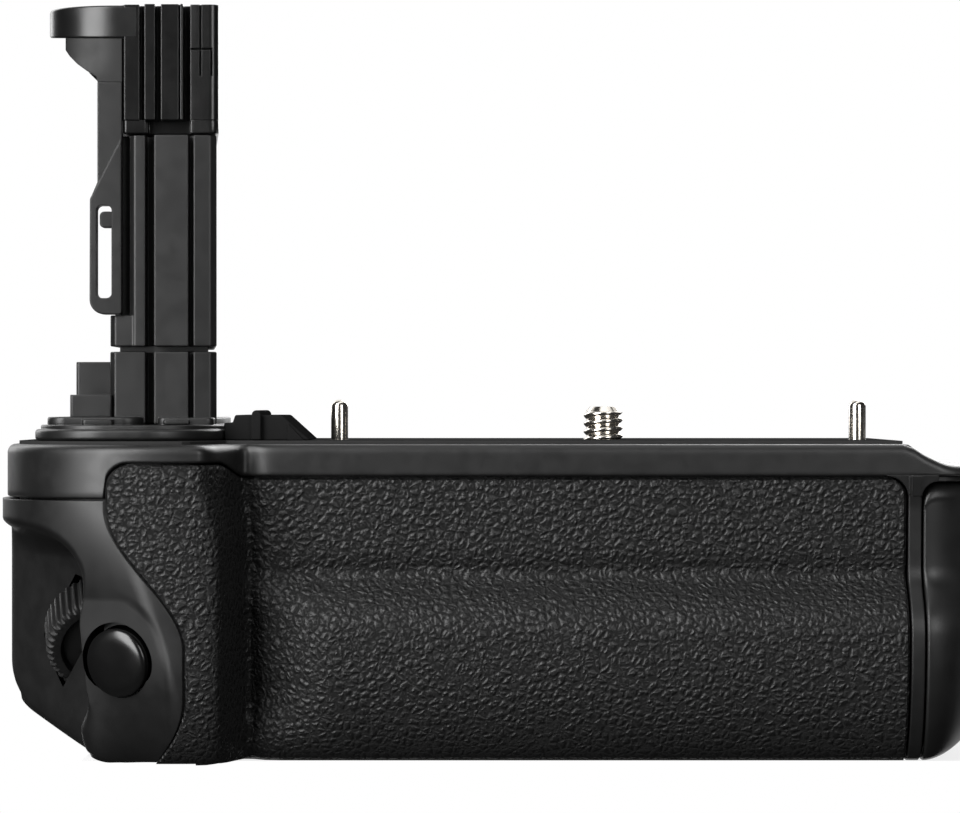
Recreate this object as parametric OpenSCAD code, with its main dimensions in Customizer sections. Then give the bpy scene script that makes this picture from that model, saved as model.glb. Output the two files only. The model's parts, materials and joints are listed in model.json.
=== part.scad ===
// Camera battery grip: a vertical grip with a battery tower, built as separate pieces in one frame.
// Millimetres. The origin is on the axis of the attachment screw, on the camera seat.
// +X runs to the battery door, -Y faces the hand, +Z points up into the camera.

/* [Body] */
// Screw axis to the shutter end
left_reach = 92.9; // [92:0.1:98]
// Screw axis to the door end
right_reach = 58.3; // [57:0.1:62]
// Camera seat to the base
body_h = 48.6; // [48.4:0.1:54]
// Screw axis to the front of the top band
band_front = 24; // [23.6:0.1:26]
// Screw axis to the front of the shutter lobe
lobe_front = 35; // [33:0.5:38]
// Screw axis to the rear face
rear_reach = 30; // [30:0.1:33]
// Wall thickness of the outer covers
wall = 2; // [1.8:0.1:2.4]
// Gap between neighbouring covers
seam = 0.3; // [0.2:0.05:0.5]
// Corner radius of the door end in plan
end_r = 9; // [7:0.5:10]
// Corner radius of the rear left corner in plan
heel_r = 14; // [11:0.5:16]
// Height of the camera seat above the top cover
seat_h = 0.5; // [0.2:0.1:0.8]
// Height of the top band
band_h = 5.5; // [5.2:0.1:6.5]
// Height of the shoulder of the top cover over the shutter lobe
shoulder_h = 8.5; // [7.8:0.1:9.5]
// Drop of the slope at the door end of the top cover
end_drop = 3.6; // [2:0.2:4]

/* [Front grip] */
// Thickness of the textured skin
skin_t = 1.2; // [0.9:0.1:1.6]
// Right edge of the front skin
skin_right = 45; // [42:0.5:46]
// Depth of the finger crease under the seat
crease_z = 20.7; // [18:0.1:24]
// How far the palm hump stands out
hump = 5; // [3:0.25:6]
// Depth of the hump crest under the seat
crest_z = 29; // [26:0.5:34]
// Depth of the groove beside the lobe
valley = 3; // [1:0.25:4]

/* [Camera tower] */
// Height of the tower above the seat
tower_h = 66.8; // [60:0.2:72]
// Tower width between its side faces
tower_w = 16.4; // [16:0.1:18]
// Tower depth from front to back
tower_d = 36; // [30:0.5:38]
// Tower axis, measured from the screw axis
tower_x = 68; // [66:0.5:70]
// How much the door side of the tower draws in towards the rear
tower_draft = 2.8; // [0:0.1:3.2]

/* [Attachment] */
// Thread diameter of the attachment screw
screw_d = 6.2; // [6:0.05:6.4]
// Height of the attachment screw above the seat
screw_h = 5.2; // [4.5:0.1:6]
// Thread pitch
screw_pitch = 1.27; // [1:0.01:1.5]
// Locating pin diameter
pin_d = 2.7; // [2:0.1:3.2]
// Locating pin height above the seat
pin_h = 6.3; // [5:0.1:7]
// Left locating pin, measured from the screw axis
pin_left = 41.5; // [38:0.25:42]
// Right locating pin, measured from the screw axis
pin_right = 40; // [38:0.25:40.25]
// Teeth of the gear on the screw
screw_teeth = 40; // [36:1:40]
// Teeth of the gear on the thumb wheel
wheel_teeth = 22; // [20:1:22]
// Radius of the knurled thumb wheel
wheel_r = 16.7; // [16:0.1:17.2]
// Tripod thread core diameter
socket_d = 5.6; // [5.3:0.1:6]

/* [Battery bay] */
// Battery pack length
pack_l = 57; // [54:0.5:58]
// Battery bay height
bay_h = 38.8; // [36:0.1:39]
// Battery bay width
bay_w = 21.3; // [20:0.1:21.6]

/* [Shutter end] */
// Shutter button diameter
button_d = 10.4; // [8:0.1:11]
// Shutter button travel
button_travel = 1.2; // [0.8:0.1:1.5]
// Turn of the shutter facet to the left
facet_turn = 27; // [22:1:30]
// Main dial radius
dial_r = 9.5; // [8.5:0.1:10]
// Main dial thickness
dial_w = 7; // [5:0.25:7.5]

/* [Part to draw] */
// Sub-part to draw

/* [Hidden] */
$fn = 48;

// Small helpers
tiny = 0.01;
big = 300;
function clamp01(t) = min(1, max(0, t));
function ease(a, b, t) = let (u = clamp01((t - a) / (b - a))) u * u * (3 - 2 * u);
function mix(a, b, t) = a + (b - a) * t;
function arc(c, r, a0, a1, n) = [for (i = [0 : n]) let (a = mix(a0, a1, i / n)) c + r * [cos(a), sin(a)]];
function flat(lists) = [for (one = lists) each one];
function round_rect(x0, x1, y0, y1, r, n = 6) = concat(
  arc([x1 - r, y0 + r], r, -90, 0, n), arc([x1 - r, y1 - r], r, 0, 90, n),
  arc([x0 + r, y1 - r], r, 90, 180, n), arc([x0 + r, y0 + r], r, 180, 270, n));

// Colours of the materials
black_plastic = [0.13, 0.13, 0.14];
gloss_black = [0.06, 0.06, 0.07];
rubber_black = [0.09, 0.09, 0.09];
steel = [0.7, 0.7, 0.72];
brass = [0.8, 0.65, 0.3];
board_green = [0.1, 0.3, 0.18];

// Chain of stations along X
strip_w = 2;
strip_x = skin_right + seam;
door_x = strip_x + strip_w + seam;
lobe_c = [-left_reach + 27, -lobe_front + 25];
lobe_a = 27;
lobe_b = 25;
lobe_n = 2.2;
flank_x0 = -61;
flank_x1 = -54.8;
valley_x = -55.6;
valley_w = 2.6;
band_x = -48;
base_z = -body_h;
plate_t = 1.5;
floor_z = base_z + plate_t;
top_z = -seat_h;

// Front surface: distance in front of the screw axis at a place on the face
skin_in = 0.7;
recess_sink = 0.6;
lip_front = 19;
lobe_lip = 27;
lobe_round_h = 17;
skin_end_z = base_z + 0.3;
function lobe_p(x) = -lobe_c[1]
  + lobe_b * pow(max(0, 1 - pow(abs(x - lobe_c[0]) / lobe_a, lobe_n)), 1 / lobe_n);
function bottom_round(z, top, from, to) = let (t = clamp01((top - z) / (top - base_z)))
  (from - to) * (1 - sqrt(max(0, 1 - t * t)));
hump_p = band_front - skin_in - recess_sink + hump;
function right_p(z) = z > -crease_z
  ? band_front - skin_in * ease(-3, -5, z) - recess_sink * ease(-band_h, -crease_z, z)
  : z > -crest_z ? hump_p - hump + hump * sin(90 * (-crease_z - z) / (crest_z - crease_z))
  : hump_p - bottom_round(z, -crest_z, hump_p, lip_front);
function left_p(x, z) = lobe_p(x) - bottom_round(z, base_z + lobe_round_h, lobe_front, lobe_lip);
function hump_on(x) = ease(-55, -41, x);
function right_px(x, z) = z > -crease_z ? right_p(z)
  : right_p(z) - hump * (1 - hump_on(x)) * ease(-crease_z, -crest_z, z) * ease(base_z, base_z + 12, z);
function front_p(x, z) = let (w = 1 - ease(flank_x0, flank_x1, x))
  w * left_p(x, z) + (1 - w) * right_px(x, z) - valley * exp(-pow((x - valley_x) / valley_w, 2));

// Plan outline of the top cover, moved in by i
flank_n = 16;
function plan(i) = concat(
  arc([right_reach - end_r, -band_front + end_r], end_r - i, -90, 0, 8),
  arc([right_reach - end_r, rear_reach - end_r], end_r - i, 0, 90, 8),
  arc([-left_reach + heel_r, rear_reach - heel_r], heel_r - i, 90, 180, 8),
  [for (k = [0 : 15]) let (a = mix(180, 270, k / 15), r = lobe_radius(a) - i) lobe_c + r * [cos(a), sin(a)]],
  [for (k = [1 : flank_n]) let (x = mix(lobe_c[0], band_x, k / flank_n)) [x, -(front_p(x + i, 0) - i)]]);
function lobe_radius(a) = 1 / pow(pow(abs(cos(a)) / lobe_a, lobe_n) + pow(abs(sin(a)) / lobe_b, lobe_n), 1 / lobe_n);

// Section across the body at the door end, moved in by i
section_n = 22;
heel_low = 4;
heel_z = base_z + heel_low;
function section(i, top) = concat(
  [[-band_front + skin_in + i, top]],
  [for (k = [1 : section_n]) let (z = mix(top - 0.2, base_z + 0.6, k / section_n)) [-right_p(z) + i, max(z, base_z + i)]],
  [[-lip_front + i, base_z + i]],
  arc([rear_reach - heel_low, heel_z], heel_low - i, -90, 0, 8),
  [[rear_reach - i, top]]);

// Left edge of the front skin at a height
skin_x0 = -74.9;
skin_x1 = -63.1;
function skin_left(z) = mix(skin_x0, skin_x1, ease(-10, -31, z))
  - 5 * pow(max(0, -38 - z) / 10.5, 2) + corner_cut(-3.5 - z, 3.5);
function corner_cut(d, r) = d >= r ? 0 : r - sqrt(max(0, r * r - (r - d) * (r - d)));
function skin_edge_r(z) = skin_right - corner_cut(-band_h - z, 3);
skin_top_l = -3.5;
function skin_drop(x) = (band_h + 0.1 + skin_top_l) * ease(-58.5, -55.2, x);

// A sheet between two grids of points that share their rows and columns
module slab(a, b) {
  rows = len(a);
  cols = len(a[0]);
  n = rows * cols;
  function id(r, c) = r * cols + c;
  edge = concat([for (c = [0 : cols - 1]) id(0, c)], [for (r = [1 : rows - 1]) id(r, cols - 1)],
    [for (c = [cols - 2 : -1 : 0]) id(rows - 1, c)], [for (r = [rows - 2 : -1 : 1]) id(r, 0)]);
  polyhedron(points = concat(flat(a), flat(b)), faces = concat(
    flat([for (r = [0 : rows - 2], c = [0 : cols - 2])
      [[id(r, c), id(r, c + 1), id(r + 1, c + 1)], [id(r, c), id(r + 1, c + 1), id(r + 1, c)]]]),
    flat([for (r = [0 : rows - 2], c = [0 : cols - 2])
      [[n + id(r, c), n + id(r + 1, c + 1), n + id(r, c + 1)], [n + id(r, c), n + id(r + 1, c), n + id(r + 1, c + 1)]]]),
    flat([for (k = [0 : len(edge) - 1]) let (p = edge[k], q = edge[(k + 1) % len(edge)])
      [[q, p, n + p], [q, n + p, n + q]]])));
}

// A solid through a row of rings with the same number of points, closed by fans
module ring_solid(rings) {
  m = len(rings[0]);
  k = len(rings);
  mid0 = [for (d = [0 : 2]) min([for (p = rings[0]) p[d]]) / 2 + max([for (p = rings[0]) p[d]]) / 2];
  mid1 = [for (d = [0 : 2]) min([for (p = rings[k - 1]) p[d]]) / 2 + max([for (p = rings[k - 1]) p[d]]) / 2];
  function id(r, c) = r * m + c % m;
  polyhedron(points = concat(flat(rings), [mid0, mid1]), faces = concat(
    flat([for (r = [0 : k - 2], c = [0 : m - 1])
      [[id(r, c), id(r + 1, c + 1), id(r, c + 1)], [id(r, c), id(r + 1, c), id(r + 1, c + 1)]]]),
    [for (c = [0 : m - 1]) [k * m, id(0, c), id(0, c + 1)]],
    [for (c = [0 : m - 1]) [k * m + 1, id(k - 1, c + 1), id(k - 1, c)]]));
}

// Prism between two heights, prism along X, prism along Y seen from the front, and a box
module prism_z(points, z0, z1) { translate([0, 0, z0]) linear_extrude(z1 - z0) polygon(points); }
module prism_x(points, x0, x1) { translate([x0, 0, 0]) rotate([90, 0, 90]) linear_extrude(x1 - x0) polygon(points); }
module prism_y(points, y0, y1) { translate([0, y1, 0]) rotate([90, 0, 0]) linear_extrude(y1 - y0) polygon(points); }
module box(a, b) { translate(a) cube(b - a); }
module rod_z(p, r, z0, z1) { translate([p[0], p[1], z0]) cylinder(r = r, h = z1 - z0); }
module rod_y(x, z, r, y0, y1) { translate([x, y1, z]) rotate([90, 0, 0]) cylinder(r = r, h = y1 - y0); }
module rod_x(y, z, r, x0, x1) { translate([x0, y, z]) rotate([0, 90, 0]) cylinder(r = r, h = x1 - x0); }

// Front skin and the case sheet behind it share one grid
grid_x = 36;
grid_z = 20;
function face_point(c, t, inset, edge, low) = let (
  z0 = mix(low, skin_top_l - edge, t),
  x = grid_col(c, skin_left(z0) + edge, skin_edge_r(z0 - skin_drop(0) * ease(-16, skin_top_l, z0)) - edge),
  z = z0 - skin_drop(x) * ease(-16, skin_top_l, z0))
  [x, -front_p(x, z) + inset, z];
cols_lobe = 7;
cols_flank = 15;
flank_span = [flank_x0 - 1, -50];
function grid_col(c, x0, x1) = c <= cols_lobe ? mix(x0, flank_span[0], c / cols_lobe)
  : c <= cols_lobe + cols_flank ? mix(flank_span[0], flank_span[1], (c - cols_lobe) / cols_flank)
  : mix(flank_span[1], x1, (c - cols_lobe - cols_flank) / (grid_x - cols_lobe - cols_flank));
function face_grid(inset, edge, low) = [for (r = [0 : grid_z]) [for (c = [0 : grid_x])
  face_point(c, pow(r / grid_z, 1.15), inset, edge, low)]];

case_gap = 0.06;
case_t = 1.6;
case_low = base_z + 1.15;

module front_skin() {
  color(rubber_black) slab(face_grid(0, 0, skin_end_z), face_grid(skin_t, 0, skin_end_z));
}

module front_case() {
  color(black_plastic) slab(face_grid(skin_t + case_gap, 0.4, case_low),
    face_grid(skin_t + case_gap + case_t, 0.4, case_low));
}

// Top cover: a ring around the seat, the front band, the shoulder and the frame of the door
ledge_t = 0.75;
plate_h = 1.5;
plate_z = top_z - plate_h;
plate_end = 44.6;
rim_in = 2.4;
hinge_x = door_x - seam / 2;
hinge_y = rear_reach + 0.7;
hinge_r = 1.9;
hinge_pin_r = 0.9;
roof_h = band_h + 0.6;
door_top = -roof_h - seam;
corner_y = -band_front + skin_in + 0.05;
knuckles = [[-12, -7], [-46, -41]];
door_knuckles = [[-18, -12.3], [-40.7, -35]];
rear_x = -70;

notch_x = -54.5;
module top_cover() {
  color(black_plastic) difference() {
    union() {
      difference() {
        prism_z(plan(0), -band_h, top_z);
        difference() {
          prism_z(plan(rim_in), plate_z, 1);
          box([plate_end + 0.15, -big, plate_z - 1], [big, big, 2]);
        }
        difference() {
          prism_z(plan(rim_in + 2), plate_z - ledge_t - 1, 1);
          box([plate_end - 2, -big, plate_z - ledge_t - 2], [big, big, 2]);
        }
        difference() {
          prism_z(plan(wall), -band_h - 1, plate_z - ledge_t);
          box([strip_x, -big, -band_h - 2], [big, big, 2]);
        }
        prism_y(concat([for (k = [0 : 8]) let (z = mix(-band_h - 1, skin_top_l, k / 8)) [skin_left(z) - seam, z + seam * k / 8]],
          [for (k = [0 : 8]) let (x = mix(-60, notch_x, k / 8)) [x, skin_top_l - skin_drop(x) + seam]],
          [[notch_x, -band_h - 1]]), -big, -lobe_front + 12);
      }
      difference() {
        prism_z(plan(0), -shoulder_h, -band_h + tiny);
        prism_z(plan(wall), -shoulder_h - 1, 0);
        box([rear_x, lobe_c[1], -shoulder_h - 1], [big, big, 0]);
        box([skin_x0 - seam, -big, -shoulder_h - 1], [big, lobe_c[1] + 1, 0]);
      }
      difference() {
        prism_x(section(0, -band_h + 0.5), strip_x, strip_x + strip_w);
        box([strip_x - 1, box_y0 - 0.2, box_z0 - 0.2], [door_x, box_y1 + 0.2, 0 - band_h]);
      }
      intersection() {
        prism_z(plan(0), -roof_h, -band_h + tiny);
        box([strip_x, -big, -10], [big, big, 0]);
      }
      prism_y(concat([[strip_x + 0.1, -band_h + 0.35], [skin_right - 3, -band_h + 0.35]],
        arc([skin_right - 3, -band_h - 3.1], 3 + seam, 90, 8, 5), [[strip_x + 0.1, -band_h - 2.5]]), corner_y, corner_y + 2);
      for (k = knuckles) hull_knuckle(k, strip_x + strip_w - 1.9);
    }
    for (k = door_knuckles) rod_z([hinge_x, hinge_y], hinge_r + 0.3, k[0] - 0.3, k[1] + 0.3);
    rod_z([hinge_x, hinge_y], hinge_pin_r + 0.05, base_z, -5);
    translate([strip_x + 1.4, 0, top_z]) rotate([0, atan(end_drop / (right_reach - strip_x - 1.4)), 0])
      translate([-0.0, -big / 2, 0]) cube([big, big, 30]);
    box([strip_x + strip_w - 1.2, latch_y - 0.5, latch_z - 3.3 - latch_slide], [door_x + 1, latch_y + 2.3, latch_z + 3.3]);
  }
}
module hull_knuckle(k, x0) {
  rod_z([hinge_x, hinge_y], hinge_r, k[0], k[1]);
  box([x0, rear_reach - 1.9, k[0]], [hinge_x, hinge_y + 0.6, k[1]]);
}

// Camera seat plate with its bores
wheel_cd = (screw_teeth + wheel_teeth) / 2;
wheel_y = 15.5;
wheel_x = -sqrt(wheel_cd * wheel_cd - wheel_y * wheel_y);
pin_at = [-pin_left, pin_right];
pin_seat_r = pin_d / 2 + 0.3;
tower_screw_at = [[-82, -12], [-82, 16], [-63.4, -14.5], [-63.4, 18.5]];
post_at = [[-23, -9], [23, -9], [-23, 2], [23, 2]];
post_r = 1.6;
module top_plate() {
  color(black_plastic) difference() {
    intersection() {
      prism_z(plan(rim_in + 0.12), plate_z, 0);
      box([-big, -big, -10], [plate_end, big, 10]);
    }
    rod_z([0, 0], screw_d / 2 + 0.25, -10, 5);
    for (x = pin_at) rod_z([x, 0], pin_seat_r + 0.01, -10, 5);
    for (p = tower_screw_at) rod_z(p, 1.15, -10, 5);
    for (p = post_at) rod_z(p, post_r + 0.02, -10, plate_z + 0.8);
    rod_z([wheel_x, wheel_y], 2.02, -10, plate_z + 1);
    ribbon_slot();
  }
}

// Shutter housing: a shell drawn in rays from the middle of the lobe
facet_at = [-65.4 - lobe_c[0], -34.6 - lobe_c[1]];
facet_n = [-sin(facet_turn), -cos(facet_turn)];
facet_d = facet_n * facet_at;
facet_fade_z = -33;
facet_fade = 0.062;
scoop_turn = 46.5;
scoop_n = [-sin(scoop_turn), -cos(scoop_turn)];
scoop_d = scoop_n * ([-80.2, -15] - lobe_c);
scoop_fade = 0.3;
step_a = 230;
step_per_mm = 3.6;
house_top = -shoulder_h - seam;
function visor_z(a) = mix(-15.5, -21.5, ease(185, 228, a));
function end_radius(a) = a > 180 ? lobe_radius(a) : let (
  d = [cos(a), sin(a)],
  c = [-left_reach + heel_r, rear_reach - heel_r] - lobe_c,
  r0 = min(lobe_a / max(0.05, -d[0]), (rear_reach - lobe_c[1]) / max(0.05, d[1])),
  p = r0 * d)
  p[0] < c[0] && p[1] > c[1] ? d * c + sqrt(max(0, pow(d * c, 2) - c * c + heel_r * heel_r)) : r0;
function ray(n, d, dist) = let (q = n * d) q > 0.05 ? dist / q : big;
function house_r(a, z, i) = let (
  d = [cos(a), sin(a)],
  outer = end_radius(a) - i,
  facet = min(outer, ray(facet_n, d, facet_d - i + facet_fade * pow(max(0, z - facet_fade_z), 2))),
  scoop = min(outer, ray(scoop_n, d, scoop_d - i + scoop_fade * pow(max(0, z - visor_z(a) + 7), 2))))
  mix(scoop, facet, ease(step_a - 1.5, step_a + 1.5, a - i * step_per_mm));
toe_x = [-70, -left_reach + 5];
toe_h = [3.2, 5.5];
function low_z(x) = base_z + toe_h[0] * pow(clamp01((toe_x[0] - x) / (toe_x[0] - toe_x[1])), 1.3)
  + toe_h[1] * (1 - sqrt(max(0, 1 - pow(max(0, toe_x[1] - x) / 5.1, 2))));
end_round = [6, 2.4];
function round_in(a, z, low) = let (w = 1 - ease(105, 150, a), h = mix(end_round[0], heel_low, w),
  t = clamp01((low + h - z) / h)) mix(end_round[1], heel_low, w) * (1 - sqrt(max(0, 1 - t * t)));
function wall_r(a, z, i) = let (low = low_z(lobe_c[0] + house_r(a, -44, i) * cos(a)))
  house_r(a, z, i) - mix(round_in(a, z, low), bottom_round(z, base_z + lobe_round_h, lobe_front, lobe_lip),
    ease(215, 262, a));
function seam_angle(z, a, n) = n == 0 ? a : seam_angle(z,
  360 - acos((skin_left(z) - seam - lobe_c[0]) / wall_r(a, z, 0)), n - 1);
rear_guess = 180 - atan2(rear_reach - lobe_c[1], lobe_c[0] - rear_x);
function rear_a(z, i) = 180 - acos((lobe_c[0] - rear_x + seam / 2) / wall_r(rear_guess, z, i));
house_cols = 34;
house_rows = 15;
floor_rows = 3;
floor_t = 1;
floor_x = -62 - seam;
floor_y = -21;
function column_a(c, z, i) = let (last = seam_angle(max(z, base_z + 1), 262, 6), u = c / house_cols)
  u < 0.45 ? mix(rear_a(z, i), step_a - 8, u / 0.45)
  : u < 0.65 ? mix(step_a - 8, step_a + 10, (u - 0.45) / 0.2) : mix(step_a + 10, last, (u - 0.65) / 0.35);
function house_point(r, c, i) = let (
  t = min(1, r / house_rows),
  u = max(0, r - house_rows) / floor_rows,
  low_guess = low_z(lobe_c[0] + house_r(column_a(c, -40, i), -44, i) * cos(column_a(c, -40, i))),
  lift = i > 0 ? floor_t : 0,
  z = mix(house_top, low_guess + lift, 1 - pow(1 - t, 1.25)),
  a = column_a(c, z, i),
  rim = lobe_c + wall_r(a, z, i) * [cos(a), sin(a)],
  x = mix(rim[0], floor_x, u * u))
  [x, u == 0 ? rim[1] : min(heel_edge - seam, mix(rim[1], max(rim[1], floor_y), sqrt(u))), u == 0 ? z : low_z(x) + lift];
function house_grid(i) = [for (r = [0 : house_rows + floor_rows]) [for (c = [0 : house_cols]) house_point(r, c, i)]];

// Shutter button axis, seen in the facet
button_s = 8.75;
button_c = concat(lobe_c + facet_at + button_s * [-cos(facet_turn), sin(facet_turn)], [-32.9]);
module at_button() { translate(button_c) rotate([0, 0, -facet_turn]) rotate([90, 0, 0]) children(); }
dial_pitch = 35;
dial_yaw = 10;
dial_c = [-76.3, -15, -31.8];
module at_dial() { translate(dial_c) rotate([0, 0, dial_yaw]) rotate([90 + dial_pitch, 0, 0]) children(); }

module shutter_housing() {
  color(black_plastic) difference() {
    slab(house_grid(0), house_grid(wall));
    at_button() translate([0, 0, -20]) cylinder(r = button_d / 2 + 0.2, h = 30);
    at_dial() translate([0, 0, -dial_w - 0.7]) cylinder(r = dial_r + 0.7, h = dial_w + 1.4);
  }
}

module shutter_button() {
  color(gloss_black) at_button() rotate_extrude() polygon(concat([[0, -4.4], [2, -4.4], [2, -2.6], [button_d / 2, -2.6]],
    [for (k = [0 : 8]) let (a = 90 * k / 8) [button_d / 2 * pow(cos(a), 0.75), 0.1 + 1.5 * sin(a)]]));
}

cup_z = -wall - 1;
cup_flat = 3.7;
module button_cup() {
  color(black_plastic) at_button() difference() {
    translate([0, 0, -8.2]) cylinder(r = button_d / 2 + 1.6, h = 8.2 + cup_z);
    translate([0, 0, -7.2]) cylinder(r = button_d / 2 + 0.6, h = 10);
    translate([-cup_flat - big, -big / 2, -big / 2]) cube(big);
  }
}

module shutter_switch() {
  color(steel) at_button() union() {
    translate([-3, -3, -7.15]) cube([6, 6, 1.2]);
    translate([0, 0, -6]) cylinder(r = 1.6, h = 0.35);
  }
}

// Knurled outline with n ridges between two radii
function knurl(n, r0, r1) = [for (k = [0 : n - 1], j = [0 : 3])
  let (a = 360 * (k + [0, 0.2, 0.5, 0.7][j]) / n, r = [r0, r1, r1, r0][j]) r * [cos(a), sin(a)]];
dial_ridges = 28;
axle_r = 1.2;
module main_dial() {
  color(black_plastic) at_dial() difference() {
    translate([0, 0, -dial_w]) linear_extrude(dial_w) polygon(knurl(dial_ridges, dial_r - 0.8, dial_r));
    translate([0, 0, -0.8]) cylinder(r = dial_r - 2.6, h = 2);
    translate([0, 0, -20]) cylinder(r = axle_r + 0.05, h = 30);
  }
}
module dial_axle() {
  color(steel) at_dial() union() {
    translate([0, 0, -dial_w - 5]) cylinder(r = axle_r, h = dial_w + 4.3);
    translate([0, 0, -0.7]) cylinder(r = 2.2, h = 0.6);
  }
}

// Carrier plate of the dial, held in the shoulder of the top cover
carrier_z0 = -8.3;
carrier_z1 = -6.9;
module dial_carrier() {
  color(black_plastic) difference() {
    union() {
      intersection() {
        prism_z(plan(wall + 0.12), carrier_z0, carrier_z1);
        box([-big, -19, -20], [-61, 24, 0]);
      }
      intersection() {
        at_dial() translate([0, 0, -dial_w - 45]) cylinder(r = 3, h = 44.4);
        box([-big, -big, -60], [big, big, carrier_z1]);
      }
    }
    at_dial() translate([0, 0, -dial_w - 5.5]) cylinder(r = axle_r + 0.01, h = 20);
    ribbon_slot();
  }
}

// Rear cover with the control openings
rear_in = rear_reach - wall;
rear_top = -band_h - seam;
rear_end = strip_x - seam;
button_at = [[-64.5, -15], [-55.5, -16], [-46.5, -16]];
rear_button_r = 3.3;
stick_at = [-61.5, -29];
switch_at = [-48.5, -29];
wheel_z0 = -12.6;
wheel_z1 = -7;
tongue_z = floor_z + 0.05;
tongue_t = 1.6;
tongue_y = 14.5;
heel_in = heel_low - wall;
heel_edge = rear_reach - heel_low - 0.5;
screw_at_x = [-57, -38, -13.5];
rear_screw_y = 17.5;
module rear_cover() {
  color(black_plastic) difference() {
    prism_x(concat([[rear_in, rear_top], [rear_reach, rear_top]],
      [for (k = [0 : 8]) let (a = -90 * k / 8) [rear_reach - heel_low + heel_low * cos(a), heel_z + heel_low * sin(a)]],
      [[heel_edge, base_z], [heel_edge, tongue_z], [tongue_y, tongue_z], [tongue_y, tongue_z + tongue_t]],
      [for (k = [0 : 8]) let (a = -90 + 90 * k / 8) [rear_reach - heel_low + heel_in * cos(a),
        tongue_z + tongue_t + heel_in + heel_in * sin(a)]]), rear_x + seam / 2, rear_end);
    box([bay_x0 - box_wall - 0.2, -big, box_z0 - 0.2], [big, box_y1 + 0.1, box_z1 + 0.2]);
    for (p = button_at) rod_y(p[0], p[1], rear_button_r + 0.2, 0, 60);
    rod_y(stick_at[0], stick_at[1], 5.4, 0, 60);
    box([switch_at[0] - 3.2, 20, switch_at[1] - 1.6], [switch_at[0] + 7.2, 60, switch_at[1] + 1.6]);
    box([wheel_x - 13, 20, wheel_z0 - 0.8], [wheel_x + 13, 60, 0]);
    for (x = screw_at_x) rod_z([x, rear_screw_y], 0.95, tongue_z - 5, tongue_z + 5);
  }
}
module rear_skin() {
  color(rubber_black) prism_y(concat(round_rect(-38, 40, -38, -19, 4)), rear_reach + 0.02, rear_reach + 1.1);
}

// Bottom cover with the screw seats
bottom_edge = 0.95;
bottom_n = 34;
bottom_left = -62;
module bottom_cover() {
  color(black_plastic) difference() {
    union() {
      prism_z(concat([for (k = [0 : bottom_n]) let (x = mix(bottom_left, rear_end, pow(k / bottom_n, 1.5)))
        [x, -front_p(x, base_z + 0.2) + bottom_edge]], [[rear_end, heel_edge - seam], [bottom_left, heel_edge - seam]]),
        base_z, floor_z);
      for (x = [-50, -20]) difference() {
        box([x - 3, 8, floor_z - tiny], [x + 3, 13.4, floor_z + 5]);
        box([x - 4, 9.95, floor_z + 2.5], [x + 4, 11.25, floor_z + 6]);
      }
    }
    rod_z(socket_at, 6.55, base_z - 1, floor_z + 1);
    for (x = screw_at_x) {
      rod_z([x, rear_screw_y], 1.15, base_z - 1, floor_z + 1);
      rod_z([x, rear_screw_y], 2.3, base_z - 1, base_z + 0.8);
    }
  }
}
socket_at = [-31, -4];
module tripod_socket() {
  color(steel) difference() {
    union() {
      rod_z(socket_at, 6.5, base_z, floor_z);
      rod_z(socket_at, 8, floor_z + 0.02, floor_z + 1.2);
      rod_z(socket_at, 5, floor_z, floor_z + 7.5);
    }
    rod_z(socket_at, socket_d / 2, base_z - 1, floor_z + 6.5);
  }
}

// Battery box with two bays, its contacts and the board beside it
box_wall = 1;
box_skin = 0.7;
bay_x1 = strip_x + strip_w;
bay_x0 = door_x + 1.4 - pack_l;
box_z0 = floor_z + 0.1;
box_z1 = box_z0 + bay_h + 2 * box_skin;
box_y1 = rear_in - 1.8;
box_y0 = box_y1 - 2 * bay_w - 3 * box_wall;
bay_y = [box_y0 + box_wall, box_y0 + 2 * box_wall + bay_w];
module battery_box() {
  color(black_plastic) difference() {
    box([bay_x0 - box_wall, box_y0, box_z0], [bay_x1, box_y1, box_z1]);
    for (y = bay_y) box([bay_x0, y, box_z0 + box_skin], [bay_x1 + 1, y + bay_w, box_z1 - box_skin]);
    for (y = bay_y, k = [-1, 0, 1]) box([bay_x0 - 5, y + bay_w / 2 + 4 * k - 0.5, -28], [bay_x0 + 1, y + bay_w / 2 + 4 * k + 0.5, -22]);
  }
}
module bay_contacts() {
  color(brass) for (y = bay_y, k = [-1, 0, 1]) translate([0, y + bay_w / 2 + 4 * k, 0]) union() {
    box([bay_x0 - box_wall - 1.2, -0.45, -27.95], [bay_x0 + 2.4, 0.45, -22.05]);
    box([bay_x0 - box_wall - 1.2, -1.1, -29], [bay_x0 - box_wall - 0.03, 1.1, -21]);
  }
}
module main_board() {
  color(board_green) union() {
    box([-55, 10, floor_z + 2.55], [-13, 11.2, -15.5]);
    box([-50, 8.2, -32], [-38, 10.1, -22]);
    box([-34, 8.8, -38], [-28, 10.1, -30]);
    box([-55, 11.1, -19.5], [-45, 13.2, -16]);
    box([-24, 11.1, -36], [-16, 13.6, -28]);
  }
}

// Locating pins, each with a foot under the seat plate
module alignment_pins() {
  color(steel) for (x = pin_at) translate([x, 0, 0]) rotate_extrude() polygon(concat(
    [[0, plate_z - 0.7], [2.2, plate_z - 0.7], [2.2, plate_z], [pin_seat_r, plate_z], [pin_seat_r, 0],
      [pin_d / 2, 0], [pin_d / 2, pin_h - 1]],
    [for (k = [1 : 6]) let (a = 90 * k / 6) [pin_d / 2 * cos(a), pin_h - 1 + sin(a)]]));
}

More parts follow.
